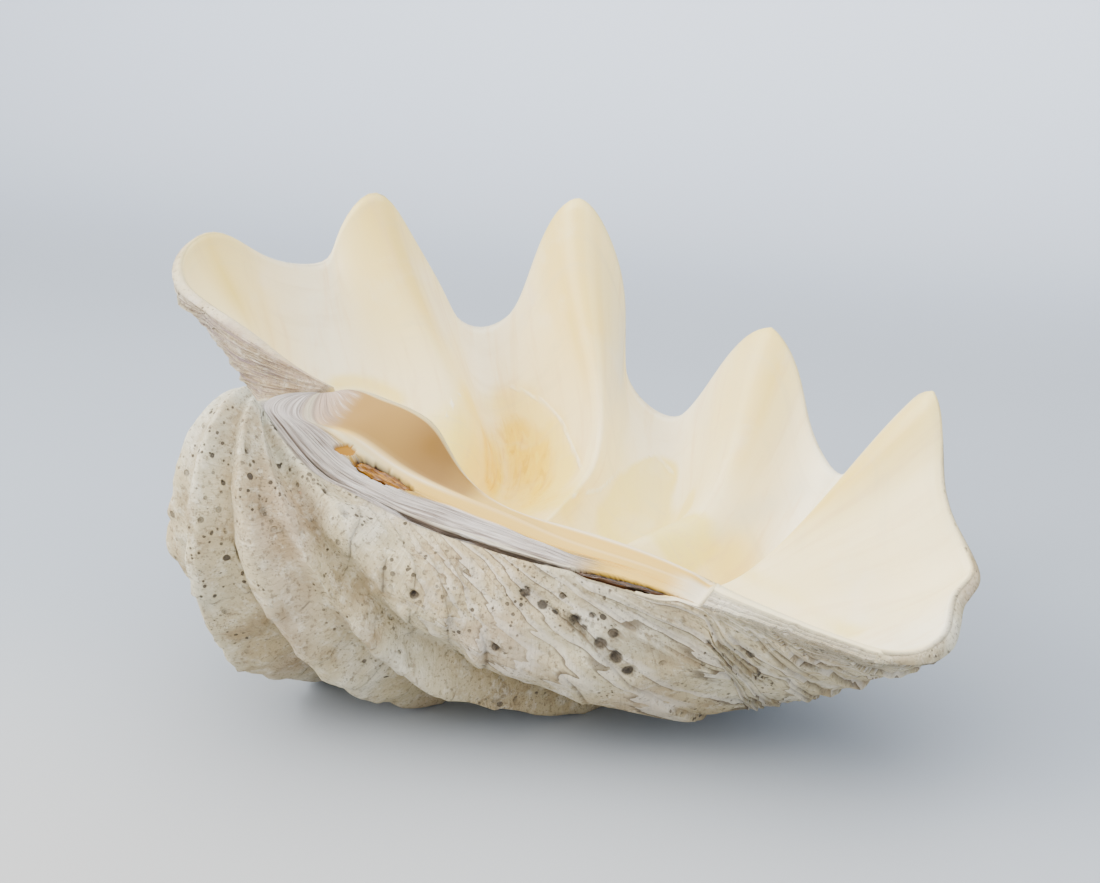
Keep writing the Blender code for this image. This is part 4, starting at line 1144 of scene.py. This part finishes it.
def makeFloor():
    bpy.ops.object.select_all(action="DESELECT")
    middle = (studio["front"] + studio["back"]) / 2
    bpy.ops.mesh.primitive_plane_add(size=1.0, location=(0.0, middle, 0.0))
    floor = bpy.context.active_object
    floor.name = "floor"
    floor.scale = (studio["width"], studio["back"] - studio["front"], 1.0)
    bpy.ops.object.transform_apply(location=True, scale=True)
    bpy.ops.object.mode_set(mode="EDIT")
    bpy.ops.mesh.select_mode(type="EDGE")
    bpy.ops.mesh.select_all(action="DESELECT")
    bpy.ops.object.mode_set(mode="OBJECT")
    selectEdges(floor, lambda at: at.y > studio["back"] - studio["close"])
    bpy.ops.mesh.extrude_region_move(TRANSFORM_OT_translate={"value": (0.0, 0.0, studio["height"])})
    bpy.ops.object.mode_set(mode="OBJECT")
    selectEdges(floor, lambda at: abs(at.y - studio["back"]) < studio["close"] and at.z < studio["close"])
    bpy.ops.mesh.bevel(offset=studio["sweep"], segments=studio["steps"], affect="EDGES")
    bpy.ops.object.mode_set(mode="OBJECT")
    floor.data.shade_smooth()
    n = Nodes("paleFloor")
    far = n.add("ShaderNodeSeparateXYZ", {0: n.place()}).outputs["Y"]
    colour = n.mix(n.noise(n.place(), 1.3, 2.0), tone(152, 160, 170), tone(158, 166, 176))
    # painted light: lighter towards the back and up the sweep
    colour = n.mix(n.ramp(far, 0.9, 2.6), colour, tone(222, 232, 248))
    colour = n.mix(n.ramp(far, 0.1, -0.7), colour, tone(180, 178, 174))
    n.set(n.shader, {"Base Color": colour, "Roughness": 0.7})
    floor.data.materials.append(n.material)
    print("floor")


makeFloor()

lights = {
    "top": {"at": (-0.3, -0.3, 2.3), "size": 4.0, "power": 160, "colour": (1.0, 0.985, 0.95)},
    "left": {"at": (-2.0, -1.5, 1.5), "size": 1.9, "power": 134, "colour": (1.0, 0.98, 0.94)},
    "right": {"at": (2.0, -1.4, 1.2), "size": 2.0, "power": 30, "colour": (0.98, 0.99, 1.0)},
}
surroundings = {"aim": (0, 0, 0.15), "colour": (0.93, 0.95, 1.0, 1.0), "strength": 0.90}
for name, light in lights.items():
    bpy.ops.object.light_add(type="AREA", location=light["at"])
    lamp = bpy.context.active_object
    lamp.name = name + "Light"
    lamp.data.size = light["size"]
    lamp.data.energy = light["power"]
    lamp.data.color = light["colour"]
    toShell = Vector(surroundings["aim"]) - Vector(light["at"])
    lamp.rotation_euler = toShell.to_track_quat("-Z", "Y").to_euler()
world = bpy.data.worlds.new("studio")
bpy.context.scene.world = world
world.use_nodes = True
background = world.node_tree.nodes["Background"]
background.inputs["Color"].default_value = surroundings["colour"]
background.inputs["Strength"].default_value = surroundings["strength"]
print("lights")

view = {
    "around": 23.2, "above": 17.2, "lens": 60.0, "sensor": 36.0, "far": 1.3, "nearest": 0.02,
    "target": (-0.0035, 0.0043, 0.178),
}


def makeCamera():
    around = math.radians(view["around"])
    above = math.radians(view["above"])
    back = Vector((math.sin(around) * math.cos(above), -math.cos(around) * math.cos(above), math.sin(above)))
    bpy.ops.object.camera_add(location=Vector(view["target"]) + back * view["far"])
    camera = bpy.context.active_object
    camera.name = "camera"
    camera.rotation_euler = back.to_track_quat("Z", "Y").to_euler()
    camera.data.lens = view["lens"]
    camera.data.sensor_width = view["sensor"]
    camera.data.clip_start = view["nearest"]
    bpy.context.scene.camera = camera
    print("camera")


makeCamera()
